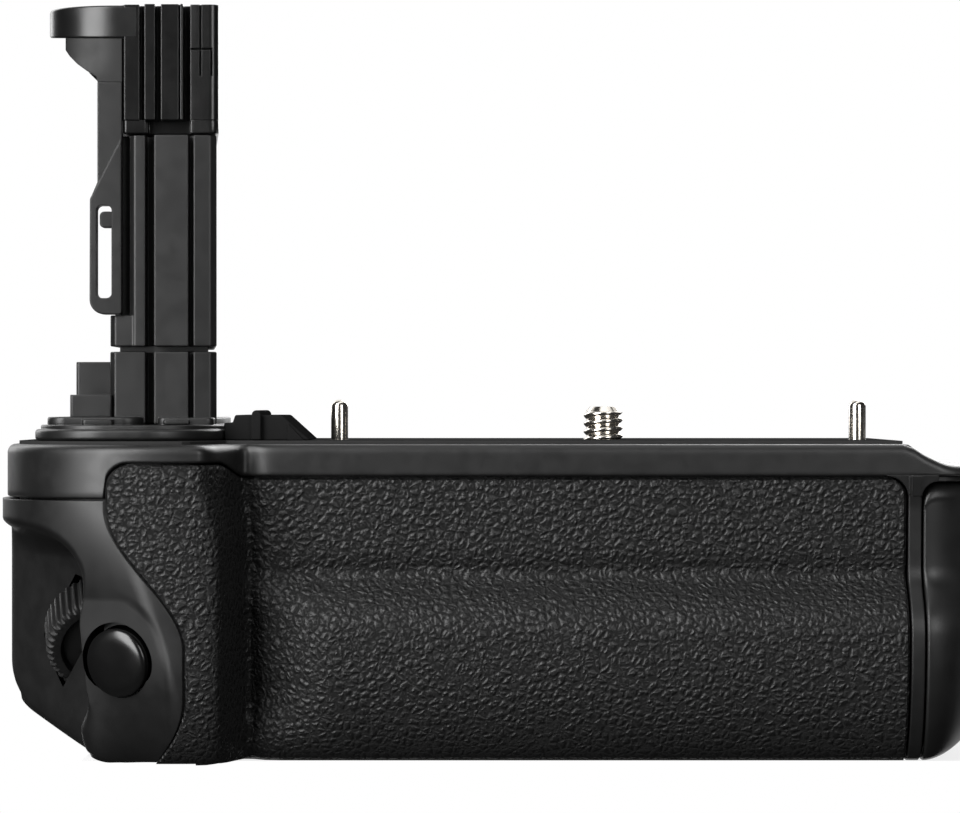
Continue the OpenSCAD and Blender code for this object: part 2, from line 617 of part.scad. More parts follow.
// Tower: base plates, column, head, cap, clips, contacts and ribbon
tx0 = -tower_x - tower_w / 2;
tx1 = -tower_x + tower_w / 2;
ty0 = -16;
ty1 = ty0 + tower_d;
neck_z = 13.6;
column_z0 = 14.4;
column_z1 = tower_h - 20;
head_z0 = column_z1 + 0.25;
column_left = tx0 + 3;
groove_x = [tx0 + 5.5, tx0 + 6.9];
line_x = [tx1 - 4.2, tx1 - 3.5];
function column_plan(x0, x1) = [[x0, ty0 + 2.4], [x0 + 0.8, ty0 + 1.4], [groove_x[0], ty0 + 1.1], [groove_x[0], ty0 + 4],
  [groove_x[1], ty0 + 4], [groove_x[1], ty0], [line_x[0], ty0], [line_x[0], ty0 + 2], [line_x[1], ty0 + 2],
  [line_x[1], ty0 + 0.5], [x1 - 0.9, ty0 + 0.8], [x1, ty0 + 1.7],
  [x1 - tower_draft, ty1 - 1], [x1 - tower_draft - 1, ty1], [x0 + 1, ty1], [x0, ty1 - 1]];
ribbon_x = -69;
module ribbon_slot() { box([ribbon_x - 0.5, -3.3, -30], [ribbon_x + 0.5, 5.3, column_z1 + 8]); }
flange_x0 = -87.6;
flange_x1 = -58.8;
module tower_base() {
  color(black_plastic) difference() {
    union() {
      prism_z(round_rect(flange_x0, flange_x1, -26, 25, 12, 8), 0.02, 1.6);
      prism_z(round_rect(flange_x0 + 0.8, flange_x1 - 0.3, -24.5, 23.5, 11, 8), 1.5, 2.4);
      prism_z(round_rect(flange_x0 + 2, tx1 - 0.2, -19, 21.5, 4, 6), 2.3, 3.6);
      prism_z(column_plan(tx0, tx1), 3.5, neck_z);
      prism_z([[tx0 + 1.4, ty0 + 3.2], [tx1 - 1.4, ty0 + 3.2], [tx1 - 1.4 - tower_draft, ty1 - 1.4],
        [tx0 + 1.4, ty1 - 1.4]], neck_z - tiny, column_z0 - 0.03);
    }
    ribbon_slot();
    for (p = tower_screw_at) rod_z(p, 0.95, -1, 2.1);
  }
}
module tower_column() {
  color(black_plastic) difference() {
    union() {
      prism_z(column_plan(column_left, tx1), column_z0, column_z1);
      prism_z(column_plan(tx0, tx1), column_z0, column_z0 + 4.8);
      box([column_left - 1.5, clip_y[0][1] + seam, column_z0 + 1], [column_left + 1, clip_y[1][0] - seam, column_z1]);
    }
    ribbon_slot();
  }
}
head_cut = 2.1;
module tower_head() {
  color(gloss_black) difference() {
    union() {
      prism_z([[column_left - 0.6, ty0 + 1.5], [column_left, ty0 + 0.9], [groove_x[0] - 0.2, ty0 + 0.9], [groove_x[0] - 0.2, ty0 + 2.6],
        [groove_x[0] + 0.2, ty0 + 2.6], [groove_x[0] + 0.2, ty0], [groove_x[1], ty0], [groove_x[1], ty0 + 2.6],
        [groove_x[1] + 1, ty0 + 2.6], [groove_x[1] + 1, ty0 + 0.3], [line_x[0] - 0.2, ty0 + 0.3], [line_x[0] - 0.2, ty0 + 2.2],
        [line_x[1] - 0.3, ty0 + 2.2], [line_x[1] - 0.3, ty0 + 1.2], [tx1 - 0.4, ty0 + 1.6], [tx1 + 0.3, ty0 + 2.6],
        [tx1 + 0.3 - tower_draft, ty1 - 1.2],
        [tx1 - 0.7 - tower_draft, ty1], [column_left + 0.4, ty1], [column_left - 0.6, ty1 - 1]], head_z0, tower_h);
      rod_z([tx1 - 1.8, ty0 + 2.4], head_cut, head_z0 + 1, tower_h - 0.3);
    }
    box([tx1 - 1, ty0 - 5, head_z0 - 1], [tx1 + 5, ty0 + 8, head_z0 + 0.9]);
    for (y = contact_y) box([-70.5, y - 0.6, tower_h - 6], [-63.5, y + 0.6, tower_h + 1]);
    ribbon_slot();
    translate([tx1 - 1.8, ty0, 56]) difference() {
      cube([2.6, 1.6, 4]);
      translate([0.5, -1, 0.5]) cube([1.6, 4, 5]);
    }
  }
}
contact_y = [for (k = [-2 : 2]) 2 + 4.4 * k];
module tower_contacts() {
  color(brass) for (y = contact_y) box([-70, y - 0.55, tower_h - 5.98], [-64, y + 0.55, tower_h - 1.2]);
}
cap_c = [-78.8, -8.5];
cap_rear = 12.5;
cap_r = 7.6;
module head_cap() {
  color(black_plastic) prism_z(concat(arc(cap_c, cap_r, 180, 280, 12),
    [[column_left - 0.65, cap_c[1] - cap_r], [column_left - 0.65, cap_rear + cap_r]],
    arc([cap_c[0], cap_rear], cap_r, 80, 180, 12)), tower_h - 5.2, tower_h - 0.1);
}
// Two clips that hold the loose battery cover of the camera against the tower, each with a web under the cap
clip_x0 = -79.2;
web_x = 4.3;
web_h = 6.2;
clip_y = [[ty0 + 0.4, ty0 + 3.2], [ty1 - 3.2, ty1 - 0.4]];
clip_top = tower_h - 5.3;
module cover_clips() {
  color(black_plastic) for (y = clip_y) union() {
    translate([0, y[1], 0]) rotate([90, 0, 0]) linear_extrude(y[1] - y[0]) difference() {
      polygon(concat([for (k = [0 : 6]) let (a = 90 * k / 6)
        [clip_x0 + 1.2 - web_x + (web_x + 1) * (1 - cos(a)), clip_top - 1 - web_h * sin(a)]],
        [[clip_x0 + 1.2, clip_top - web_h - 2], [clip_x0 + 1.2, 39], [clip_x0, 36.5], [clip_x0, 21.2]],
        arc([clip_x0 + 2, 21.2], 2, 190, 270, 4), [[-75.6, 19.2], [-74.3, 20.6], [-74.3, clip_top],
          [clip_x0 + 1.2 - web_x, clip_top]]));
      difference() {
        polygon(round_rect(-78.1, -75.7, 21.8, 36, 1.1, 4));
        polygon(round_rect(-77.7, -75, 32.6, 35.1, 0.7, 3));
      }
    }
    box([-75.2, y[0] + 0.6, 40], [column_left - 0.02, y[1] - 0.4, column_z1 - 1]);
  }
}
module side_lug() {
  color(black_plastic) union() {
    box([-82.1, -9, 6.9], [tx0 - 0.02, 13, 12.1]);
    box([-82.2, -11, 3.62], [tx0 - 0.02, 15, 7]);
  }
}
module tower_ribbon() {
  color(brass) box([ribbon_x - 0.2, -3, -15], [ribbon_x + 0.2, 5, column_z1 + 6]);
}
module hinge_block() {
  color(black_plastic) union() {
    prism_y([[-58.7, 0.02], [-58.7, 2.6], [-57.2, 2.6], [-57.2, 5], [-48.2, 5], [-44.3, 0.02]], -14, 12);
    prism_y([[-53.9, 1], [-53.9, 6], [-51.8, 6], [-51.8, 1]], -14.6, 12.6);
  }
}

// Gear train of the attachment screw
pressure = 20;
gear_m = 1;
gear_slack = 0.07;
function inv(a) = tan(a) * 180 / PI - a;
function flank_a(r, n) = let (rb = gear_m * n / 2 * cos(pressure))
  (90 - gear_slack * 2 * 180 / PI / gear_m) / n + inv(pressure) - (r > rb ? inv(acos(rb / r)) : 0);
function gear_radii(n) = let (r = gear_m * n / 2, rb = r * cos(pressure), lo = max(rb, r - 1.05 * gear_m))
  concat([r - 1.25 * gear_m], [for (k = [0 : 3]) mix(lo, r + gear_m * 0.95, k / 3)]);
function gear(n) = let (rr = gear_radii(n)) [for (t = [0 : n - 1], j = [0 : 9])
  let (r = rr[j < 5 ? j : 9 - j], a = 360 * t / n + (j < 5 ? -1 : 1) * flank_a(r, n)) r * [cos(a), sin(a)]];
gear_z0 = -5.9;
gear_z1 = -2.95;
line_a = atan2(wheel_y, wheel_x);
shaft_r = 3;
module attachment_screw() {
  color(steel) rotate_extrude() polygon(concat(
    [[0, carrier_low], [2, carrier_low], [2, gear_z0], [shaft_r, gear_z0], [shaft_r, gear_z1], [4.4, gear_z1],
      [4.4, plate_z - 0.05], [screw_d / 2 - 0.5, plate_z - 0.05], [screw_d / 2 - 0.5, 0]],
    flat([for (k = [0 : 3]) let (z = screw_pitch * (k + 0.15)) [[screw_d / 2 - 0.5, z], [screw_d / 2, z + 0.42],
      [screw_d / 2, z + 0.6], [screw_d / 2 - 0.5, z + 1.02]]]),
    [[screw_d / 2 - 0.9, screw_h], [0, screw_h]]));
}
module screw_gear() {
  color(steel) difference() {
    translate([0, 0, gear_z0]) rotate(line_a) linear_extrude(gear_z1 - gear_z0 - 0.02) polygon(gear(screw_teeth));
    rod_z([0, 0], shaft_r + 0.005, -10, 0);
  }
}
carrier_low = -6.75;
module gear_carrier() {
  color(steel) difference() {
    union() {
      box([-25, -11.5, carrier_low], [25, 4, -6.15]);
      for (p = post_at) rod_z(p, post_r, -6.2, plate_z + 0.78);
    }
    rod_z([0, 0], 2.05, -10, 0);
  }
}
wheel_bore = 2.05;
wheel_ridges = 44;
module thumb_wheel() {
  color(black_plastic) translate([wheel_x, wheel_y, 0]) difference() {
    union() {
      translate([0, 0, wheel_z0]) linear_extrude(wheel_z1 - wheel_z0) polygon(knurl(wheel_ridges, wheel_r - 0.7, wheel_r));
      translate([0, 0, wheel_z1 - tiny]) cylinder(r = 9, h = gear_z0 - wheel_z1 + 2 * tiny);
      translate([0, 0, gear_z0]) rotate(line_a + 180 - 180 / wheel_teeth) linear_extrude(gear_z1 - gear_z0) polygon(gear(wheel_teeth));
    }
    translate([0, 0, -20]) cylinder(r = wheel_bore, h = 30);
  }
}
module wheel_axle() {
  color(steel) union() {
    rod_z([wheel_x, wheel_y], 2, wheel_z0 - 0.4, plate_z + 0.98);
    rod_z([wheel_x, wheel_y], 3.8, wheel_z0 - 1.2, wheel_z0 - 0.1);
  }
}

// Battery door: a cup with rounded edges, turning on a pin at the rear
door_t = 2;
door_round = 8;
door_rings = 8;
door_mid = [(rear_reach - hump_p) / 2, (door_top + base_z) / 2];
door_half = [(rear_reach + hump_p) / 2, (door_top - base_z) / 2];
function door_ring(x, i, flat_top = false) = [for (p = section(0, door_top)) let (d = p - door_mid)
  [x, door_mid[0] + d[0] * (1 - i / door_half[0]),
    flat_top && d[1] > 0 ? p[1] : door_mid[1] + d[1] * (1 - i / door_half[1])]];
function door_outer() = concat([door_ring(door_x, 0)], [for (k = [0 : door_rings]) let (a = 90 * k / door_rings * 0.94)
  door_ring(right_reach - door_round * (1 - sin(a)), door_round * 0.62 * (1 - cos(a)), true)]);
module battery_door() {
  color(black_plastic) difference() {
    union() {
      ring_solid(concat([for (x = [right_reach - door_t - 0.1, door_x + 3, door_x]) door_ring(x, x > door_x + 4 ? door_t + 3 : door_t)],
        door_outer()));
      for (k = door_knuckles) {
        rod_z([hinge_x, hinge_y], hinge_r, k[0], k[1]);
        box([hinge_x, rear_reach - 1.9, k[0]], [door_x + 2, hinge_y + 0.6, k[1]]);
      }
    }
    for (k = knuckles) rod_z([hinge_x, hinge_y], hinge_r + 0.3, k[0] - 0.3, k[1] + 0.3);
    rod_z([hinge_x, hinge_y], hinge_pin_r + 0.05, base_z, -5);
    box([right_reach - 6, pad_y - 2.2, latch_hole[0]], [right_reach + 5, pad_y + 2.2, latch_hole[1]]);
    box([0, bay_y[0] - 0.1, box_z0 + box_skin - 0.1], [door_x + 1.6, bay_y[1] + bay_w + 0.1, box_z1 - box_skin + 0.1]);
  }
}
module door_pin() {
  color(steel) rod_z([hinge_x, hinge_y], hinge_pin_r, knuckles[1][0] + 0.3, knuckles[0][1] - 0.3);
}
seal_in = door_t + 0.6;
seal_low = base_z + 10;
module door_seal() {
  color(rubber_black) difference() {
    prism_x(section(seal_in, door_top - seal_in), strip_x + strip_w + 0.03, strip_x + strip_w + 0.8);
    box([0, -big, -big], [90, big, seal_low]);
    box([0, box_y0 - 0.2, box_z0 - 0.2], [90, box_y1 + 0.2, box_z1 + 0.2]);
    box([0, latch_y - 1, latch_z - 4 - latch_slide], [90, latch_y + 9, latch_z + 4]);
  }
}

// Latch slider on the end of the door with its hook plate inside
latch_y = -21.3;
latch_z = -28;
pad_y = -6;
latch_slide = 4;
latch_hole = [latch_z - 3.2 - latch_slide, latch_z + 3.2];
module door_latch() {
  color(black_plastic) difference() {
    union() {
      box([right_reach - 2.9, pad_y - 2, latch_z - 3], [right_reach + 0.5, pad_y + 2, latch_z + 3]);
      prism_x(round_rect(pad_y - 5, pad_y + 5, latch_z - 5.5, latch_z + 5.5, 2, 4), right_reach + 0.12, right_reach + 1.5);
    }
    for (k = [-2 : 2]) box([right_reach + 1.1, pad_y - 4, latch_z - 0.4 + 1.9 * k], [right_reach + 3, pad_y + 4, latch_z + 0.4 + 1.9 * k]);
  }
}
module latch_plate() {
  color(steel) union() {
    box([right_reach - 4, latch_y + 0.9, latch_z - 3], [right_reach - 2.92, pad_y + 4, latch_z + 3]);
    box([strip_x + strip_w - 0.9, latch_y + 0.1, latch_z - 2.8], [right_reach - 3, latch_y + 1.2, latch_z + 2.8]);
  }
}

// Rear controls
module rear_button(p) {
  color(black_plastic) union() {
    rod_y(p[0], p[1], rear_button_r, rear_in - 0.6, rear_reach + 0.9);
    rod_y(p[0], p[1], rear_button_r + 0.9, rear_in - 1.3, rear_in - 0.1);
    rod_y(p[0], p[1], 1.2, board_y1 + 0.95, rear_in - 0.2);
  }
}
board_y1 = 22.6;
board_posts = [[-60, -11.5], [-51, -11.5], [-67.3, -39], [-44.6, -39]];
module focus_button() { rear_button(button_at[0]); }
module lock_button() { rear_button(button_at[1]); }
module point_button() { rear_button(button_at[2]); }
module button_board() {
  color(board_green) {
    box([-69, board_y1 - 1.2, -41], [-43, board_y1, -10]);
    for (p = board_posts) rod_y(p[0], p[1], 1.4, board_y1 - 0.1, rear_in - 0.02);
  }
}
gimbal_y = 26.4;
module at_stick() { translate([stick_at[0], gimbal_y, stick_at[1]]) children(); }
module stick_base() {
  color(black_plastic) at_stick() difference() {
    translate([-5, board_y1 - gimbal_y + 0.02, -5]) cube([10, 5, 10]);
    translate([0, 10, 0]) rotate([90, 0, 0]) cylinder(r = 4, h = 13.4);
    translate([0, 0, -10]) cylinder(r = 0.85, h = 20);
  }
}
module stick_gimbal() {
  color(steel) at_stick() difference() {
    union() {
      translate([0, 0.9, 0]) rotate([90, 0, 0]) cylinder(r = 3.2, h = 1.8);
      translate([0, 0, -4.6]) cylinder(r = 0.8, h = 9.2);
    }
    translate([0, 5, 0]) rotate([90, 0, 0]) cylinder(r = 2.2, h = 10);
    translate([-10, 0, 0]) rotate([0, 90, 0]) cylinder(r = 0.65, h = 20);
  }
}
module stick_cap() {
  color(gloss_black) at_stick() union() {
    rotate([-90, 0, 0]) rotate_extrude() polygon(concat([[0, -1.1], [1.6, -1.1], [1.6, 3.2], [3.6, 3.9]],
      [for (k = [0 : 5]) let (a = 90 * k / 5) [3.6 * cos(a), 4.4 + 1.2 * sin(a)]]));
    translate([-3, 0, 0]) rotate([0, 90, 0]) cylinder(r = 0.6, h = 6);
  }
}
module power_switch() {
  color(black_plastic) union() {
    box([switch_at[0] - 3, rear_in - 1.2, switch_at[1] - 1.4], [switch_at[0] + 3, rear_reach + 1.6, switch_at[1] + 1.4]);
    box([switch_at[0] - 4.6, rear_in - 1.2, switch_at[1] - 2.4], [switch_at[0] + 4.6, rear_in - 0.1, switch_at[1] + 2.4]);
  }
}

// Fasteners
module case_screws() {
  color(steel) for (x = screw_at_x) difference() {
    union() {
      rod_z([x, rear_screw_y], 2.1, base_z + 0.1, base_z + 0.78);
      rod_z([x, rear_screw_y], 0.93, base_z + 0.7, tongue_z + 1.5);
    }
    box([x - 1.5, rear_screw_y - 0.25, base_z - 1], [x + 1.5, rear_screw_y + 0.25, base_z + 0.4]);
    box([x - 0.25, rear_screw_y - 1.5, base_z - 1], [x + 0.25, rear_screw_y + 1.5, base_z + 0.4]);
  }
}
module tower_screws() {
  color(steel) for (p = tower_screw_at) union() {
    rod_z(p, 1.9, plate_z - 0.9, plate_z - 0.02);
    rod_z(p, 0.93, plate_z - 0.5, 1.9);
  }
}

top_cover();
top_plate();
front_case();
front_skin();
shutter_housing();
rear_cover();
rear_skin();
bottom_cover();
battery_box();
bay_contacts();
main_board();
tripod_socket();
alignment_pins();
tower_base();
tower_column();
tower_head();
head_cap();
tower_contacts();
tower_ribbon();
cover_clips();
side_lug();
hinge_block();
gear_carrier();
wheel_axle();
thumb_wheel();
attachment_screw();
screw_gear();
shutter_button();
button_cup();
shutter_switch();
main_dial();
dial_axle();
dial_carrier();
battery_door();
door_pin();
door_seal();
door_latch();
latch_plate();
focus_button();
lock_button();
point_button();
button_board();
stick_base();
stick_gimbal();
stick_cap();
power_switch();
case_screws();
tower_screws();
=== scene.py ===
import json
import math
import bpy
import bmesh
from mathutils import Matrix, Vector


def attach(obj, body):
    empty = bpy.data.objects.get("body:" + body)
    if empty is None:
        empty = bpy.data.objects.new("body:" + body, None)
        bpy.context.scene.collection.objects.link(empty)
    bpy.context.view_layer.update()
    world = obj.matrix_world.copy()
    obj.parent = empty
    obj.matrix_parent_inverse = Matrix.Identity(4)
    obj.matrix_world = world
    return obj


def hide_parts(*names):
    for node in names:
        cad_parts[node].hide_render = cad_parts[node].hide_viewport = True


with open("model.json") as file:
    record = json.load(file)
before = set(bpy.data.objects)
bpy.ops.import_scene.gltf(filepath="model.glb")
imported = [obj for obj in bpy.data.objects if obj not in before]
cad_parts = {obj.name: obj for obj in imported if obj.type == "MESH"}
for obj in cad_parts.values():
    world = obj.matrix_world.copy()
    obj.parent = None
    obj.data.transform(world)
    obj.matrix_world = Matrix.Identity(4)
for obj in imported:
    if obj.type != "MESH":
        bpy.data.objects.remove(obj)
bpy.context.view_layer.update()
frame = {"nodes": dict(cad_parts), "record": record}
MM = 0.001
nodes = frame["nodes"]

# Places and sizes shared with the solids, in millimetres
BASE_Z = -48.6
LEFT_REACH = 92.9
BAND_FRONT = 24.0
BAND_H = 5.5
SHOULDER_H = 8.5
REAR_REACH = 30.0
WALL = 2.0
SEAM = 0.3
LOBE_C = (-65.9, -10.0)
LOBE_A = 27.0
LOBE_B = 25.0
LOBE_N = 2.2
LOBE_FRONT = 35.0
LOBE_LIP = 27.0
LOBE_ROUND_H = 17.0
FLANK_X0 = -60.2
FLANK_X1 = -54.8
FLANK_LEAN = (2.7, 0.0)
FLANK_SOFT = (-1.0, 0.0, 1.0)
VALLEY_X = -55.6
VALLEY_W = 2.6
VALLEY = 1.3
SKIN_IN = 0.7
RECESS_SINK = 0.6
LIP_FRONT = 19.0
CREASE_Z = 20.7
CREST_Z = 29.0
HUMP = 5.0
CREASE_DEEP = 0.8
CREASE_WIDE = 2.2
FOLD_SOFT = 1.6
FOLD_STEPS = 5
FOLD_FADE = (2.5, 6.0)
CREASE_SHIFT = 0.4
FADE_X = (-55, -41)
FADE_LOW = 12
LEAN_Z = (-6, -16)
BAND_STEP_Z = (-3, -5)
SKIN_SIDE_X = (-74.9, -63.1)
SKIN_SIDE_Z = (-10, -31)
SKIN_TAIL_Z = -38
SKIN_TAIL_H = 10.5
SKIN_TAIL_X = 5
SKIN_CORNER_L = 3.5
SKIN_CORNER_R = 3.0
SKIN_DROP_X = (-58.5, -55.2)
SKIN_DROP_GAP = 0.1
SKIN_RIGHT = 45.0
SKIN_TOP_L = -3.5
SKIN_T = 1.2
HEEL_R = 14.0
HEEL_LOW = 4.0
REAR_X = -70.0
SCREW_R = 3.1
SCREW_PITCH = 1.27
SCREW_H = 5.2
BUTTON_R = 5.2
BUTTON_C = (-73.196, -30.628, -32.9)
FACET_TURN = 27.0
DIAL_C = (-76.3, -15.0, -31.8)
DIAL_PITCH = 35.0
DIAL_YAW = 10.0
DIAL_R = 9.5
DIAL_W = 7.0


# Small helpers for numbers
def clamp01(t):
    return min(1.0, max(0.0, t))


def ease(a, b, t):
    u = clamp01((t - a) / (b - a))
    return u * u * (3 - 2 * u)


def mix(a, b, t):
    return a + (b - a) * t


def quarter(t):
    return 1 - math.sqrt(max(0.0, 1 - t * t))


def soft_min(a, b, width):
    h = clamp01(0.5 + 0.5 * (b - a) / width)
    return mix(b, a, h) - width * h * (1 - h)


def arc(centre, radius, start, end, steps):
    points = []
    for k in range(steps + 1):
        a = math.radians(mix(start, end, k / steps))
        points.append((centre[0] + radius * math.cos(a), centre[1] + radius * math.sin(a)))
    return points


def round_rect(x0, x1, y0, y1, r, steps=6):
    return (arc((x1 - r, y0 + r), r, -90, 0, steps) + arc((x1 - r, y1 - r), r, 0, 90, steps)
            + arc((x0 + r, y1 - r), r, 90, 180, steps) + arc((x0 + r, y0 + r), r, 180, 270, steps))


# Front surface of the grip: distance in front of the screw axis
HUMP_P = BAND_FRONT - SKIN_IN - RECESS_SINK + HUMP


def lobe_p(x):
    inside = max(0.0, 1 - (abs(x - LOBE_C[0]) / LOBE_A) ** LOBE_N)
    return -LOBE_C[1] + LOBE_B * inside ** (1 / LOBE_N)


def bottom_round(z, top, start, end):
    return (start - end) * quarter(clamp01((top - z) / (top - BASE_Z)))


def right_p(z):
    if z > -CREASE_Z:
        return BAND_FRONT - SKIN_IN * ease(*BAND_STEP_Z, z) - RECESS_SINK * ease(-BAND_H, -CREASE_Z, z)
    if z > -CREST_Z:
        return HUMP_P - HUMP + HUMP * math.sin(math.pi / 2 * (-CREASE_Z - z) / (CREST_Z - CREASE_Z))
    return HUMP_P - bottom_round(z, -CREST_Z, HUMP_P, LIP_FRONT)


def right_soft(z):
    half = FOLD_SOFT * (1 - ease(*FOLD_FADE, abs(z + CREASE_Z)))
    steps = range(-FOLD_STEPS, FOLD_STEPS + 1)
    return sum(right_p(z + half * k / FOLD_STEPS) for k in steps) / len(steps)


def right_px(x, z):
    if z > -CREASE_Z:
        return right_soft(z)
    fade = (1 - ease(*FADE_X, x)) * ease(-CREASE_Z, -CREST_Z, z) * ease(BASE_Z, BASE_Z + FADE_LOW, z)
    return right_soft(z) - HUMP * fade


def front_p(x, z):
    lean = ease(*LEAN_Z, z)
    ends = (FLANK_X0 + FLANK_LEAN[0] * lean, FLANK_X1 + FLANK_LEAN[1] * lean)
    w = 1 - sum(ease(ends[0], ends[1], x + step) for step in FLANK_SOFT) / len(FLANK_SOFT)
    left = lobe_p(x) - bottom_round(z, BASE_Z + LOBE_ROUND_H, LOBE_FRONT, LOBE_LIP)
    crease = CREASE_DEEP * ease(*FADE_X, x) * math.exp(-((z + CREASE_Z - CREASE_SHIFT) / CREASE_WIDE) ** 2)
    valley = VALLEY * math.exp(-((x - VALLEY_X) / VALLEY_W) ** 2)
    return w * left + (1 - w) * right_px(x, z) - valley - crease


def corner_cut(d, r):
    return 0.0 if d >= r else r - math.sqrt(max(0.0, r * r - (r - d) ** 2))


def skin_left(z):
    side = mix(*SKIN_SIDE_X, ease(*SKIN_SIDE_Z, z))
    tail = SKIN_TAIL_X * (max(0.0, SKIN_TAIL_Z - z) / SKIN_TAIL_H) ** 2
    return side - tail + corner_cut(SKIN_TOP_L - z, SKIN_CORNER_L)


def skin_drop(x):
    return (BAND_H + SKIN_DROP_GAP + SKIN_TOP_L) * ease(*SKIN_DROP_X, x)


def skin_right(z):
    return SKIN_RIGHT - corner_cut(-BAND_H - z, SKIN_CORNER_R)


# Materials: names that end in MM are millimetres, the others are shares and levels
MIDDLE = (0.3, 0.7)
TONE_MM = 14.0
PATCH_MM = 3.0
ROUGH_LESS = 0.92
ROUGH_MORE = 1.08
PLASTIC_BUMP = 0.6
WARP_MM = 2.2
WARP_BY_MM = 0.6
PEBBLES_MM = (1.25, 0.75)
PEBBLE_REACH = 0.36
FINE_MM = 0.25
SMALL_SHARE = 0.35
FINE_SHARE = 0.15
# Ramp places for the painted shade: darkest base colour at height 0.12 down in the creases, full tone from
# 0.5 up on the pebble tops
PEBBLE_SHADE_STOPS = (0.12, 0.5)
PEBBLE_ROUGH = (0.1, 0.6, 0.95, 0.46)
PEBBLE_SPECULAR = 0.4
PEBBLE_BUMP = 0.9
PEBBLE_H_MM = 0.19
STREAK_LONG = 12.0
STREAK_DARK = 0.86
STREAK_LESS = 0.8
STREAK_MORE = 1.25
STREAK_BUMP = 0.4


def add(tree, kind, props=None, **inputs):
    made = tree.nodes.new("ShaderNode" + kind)
    for key, value in (props or {}).items():
        setattr(made, key, value)
    for key, value in inputs.items():
        socket = made.inputs[key.replace("_", " ")]
        if isinstance(value, bpy.types.NodeSocket):
            tree.links.new(value, socket)
        else:
            socket.default_value = value
    return made


def grey(level, tint=(1.0, 1.0, 1.0)):
    return (level * tint[0], level * tint[1], level * tint[2], 1.0)


def ramp(tree, fac, stops):
    made = add(tree, "ValToRGB", Fac=fac)
    line = made.color_ramp
    while len(line.elements) < len(stops):
        line.elements.new(0.5)
    for element, (place, colour) in zip(line.elements, stops):
        element.position = place
        element.color = colour
    return made.outputs["Color"]


def span(tree, value, low, high, to_low, to_high):
    made = add(tree, "MapRange", {"interpolation_type": "SMOOTHSTEP"}, Value=value)
    for name, number in (("From Min", low), ("From Max", high), ("To Min", to_low), ("To Max", to_high)):
        made.inputs[name].default_value = number
    return made.outputs["Result"]


def start_material(name):
    made = bpy.data.materials.new(name)
    made.use_nodes = True
    tree = made.node_tree
    shader = tree.nodes["Principled BSDF"]
    coords = add(tree, "TexCoord").outputs["Object"]
    return made, tree, shader, coords


def noise(tree, coords, size_mm, detail=2.0, rough=0.5):
    made = add(tree, "TexNoise", Vector=coords, Scale=1 / (size_mm * MM), Detail=detail, Roughness=rough)
    return made.outputs["Fac"]


def plastic(name, dark, light, rough, grain_mm, bump_mm, edge_mm=0.0, specular=0.5, tint=(1.0, 1.0, 1.0)):
    made, tree, shader, coords = start_material(name)
    tone = noise(tree, coords, TONE_MM, 4.0)
    stops = [(MIDDLE[0], grey(dark, tint)), (MIDDLE[1], grey(light, tint))]
    tree.links.new(ramp(tree, tone, stops), shader.inputs["Base Color"])
    patch = noise(tree, coords, PATCH_MM, 3.0)
    patches = span(tree, patch, *MIDDLE, rough * ROUGH_LESS, rough * ROUGH_MORE)
    tree.links.new(patches, shader.inputs["Roughness"])
    shader.inputs["Specular IOR Level"].default_value = specular
    grain = noise(tree, coords, grain_mm, 1.0)
    bump = add(tree, "Bump", Strength=PLASTIC_BUMP, Distance=bump_mm * MM, Height=grain)
    if edge_mm:
        edge = add(tree, "Bevel", {"samples": 4}, Radius=edge_mm * MM)
        tree.links.new(edge.outputs["Normal"], bump.inputs["Normal"])
    tree.links.new(bump.outputs["Normal"], shader.inputs["Normal"])
    return made


# Pebbled rubber: bumped pebbles whose base colour carries painted shade, darker down in the creases and
# lighter on the tops
def pebbled(name, crease, top):
    made, tree, shader, coords = start_material(name)
    warp = add(tree, "TexNoise", Vector=coords, Scale=1 / (WARP_MM * MM), Detail=1.0)
    shift = add(tree, "VectorMath", {"operation": "SUBTRACT"})
    tree.links.new(warp.outputs["Color"], shift.inputs[0])
    shift.inputs[1].default_value = (0.5, 0.5, 0.5)
    bend = add(tree, "VectorMath", {"operation": "MULTIPLY_ADD"})
    tree.links.new(shift.outputs["Vector"], bend.inputs[0])
    bend.inputs[1].default_value = (WARP_BY_MM * MM,) * 3
    tree.links.new(coords, bend.inputs[2])
    heights = []
    for size_mm in PEBBLES_MM:
        cells = add(tree, "TexVoronoi", {"feature": "DISTANCE_TO_EDGE"}, Vector=bend.outputs["Vector"],
                    Scale=1 / (size_mm * MM))
        heights.append(span(tree, cells.outputs["Distance"], 0.0, PEBBLE_REACH, 0.0, 1.0))
    fine = noise(tree, coords, FINE_MM, 2.0)
    both = add(tree, "Math", {"operation": "MULTIPLY_ADD"})
    tree.links.new(heights[1], both.inputs[0])
    both.inputs[1].default_value = SMALL_SHARE
    tree.links.new(heights[0], both.inputs[2])
    height = add(tree, "Math", {"operation": "MULTIPLY_ADD"})
    tree.links.new(fine, height.inputs[0])
    height.inputs[1].default_value = FINE_SHARE
    tree.links.new(both.outputs["Value"], height.inputs[2])
    # Painted shade: the base colour follows the pebble height, dark in the creases between pebbles and
    # lighter on their tops
    stops = [(PEBBLE_SHADE_STOPS[0], grey(crease)), (PEBBLE_SHADE_STOPS[1], grey(top))]
    tree.links.new(ramp(tree, height.outputs["Value"], stops), shader.inputs["Base Color"])
    tree.links.new(span(tree, height.outputs["Value"], *PEBBLE_ROUGH), shader.inputs["Roughness"])
    shader.inputs["Specular IOR Level"].default_value = PEBBLE_SPECULAR
    bump = add(tree, "Bump", Strength=PEBBLE_BUMP, Distance=PEBBLE_H_MM * MM, Height=height.outputs["Value"])
    tree.links.new(bump.outputs["Normal"], shader.inputs["Normal"])
    return made


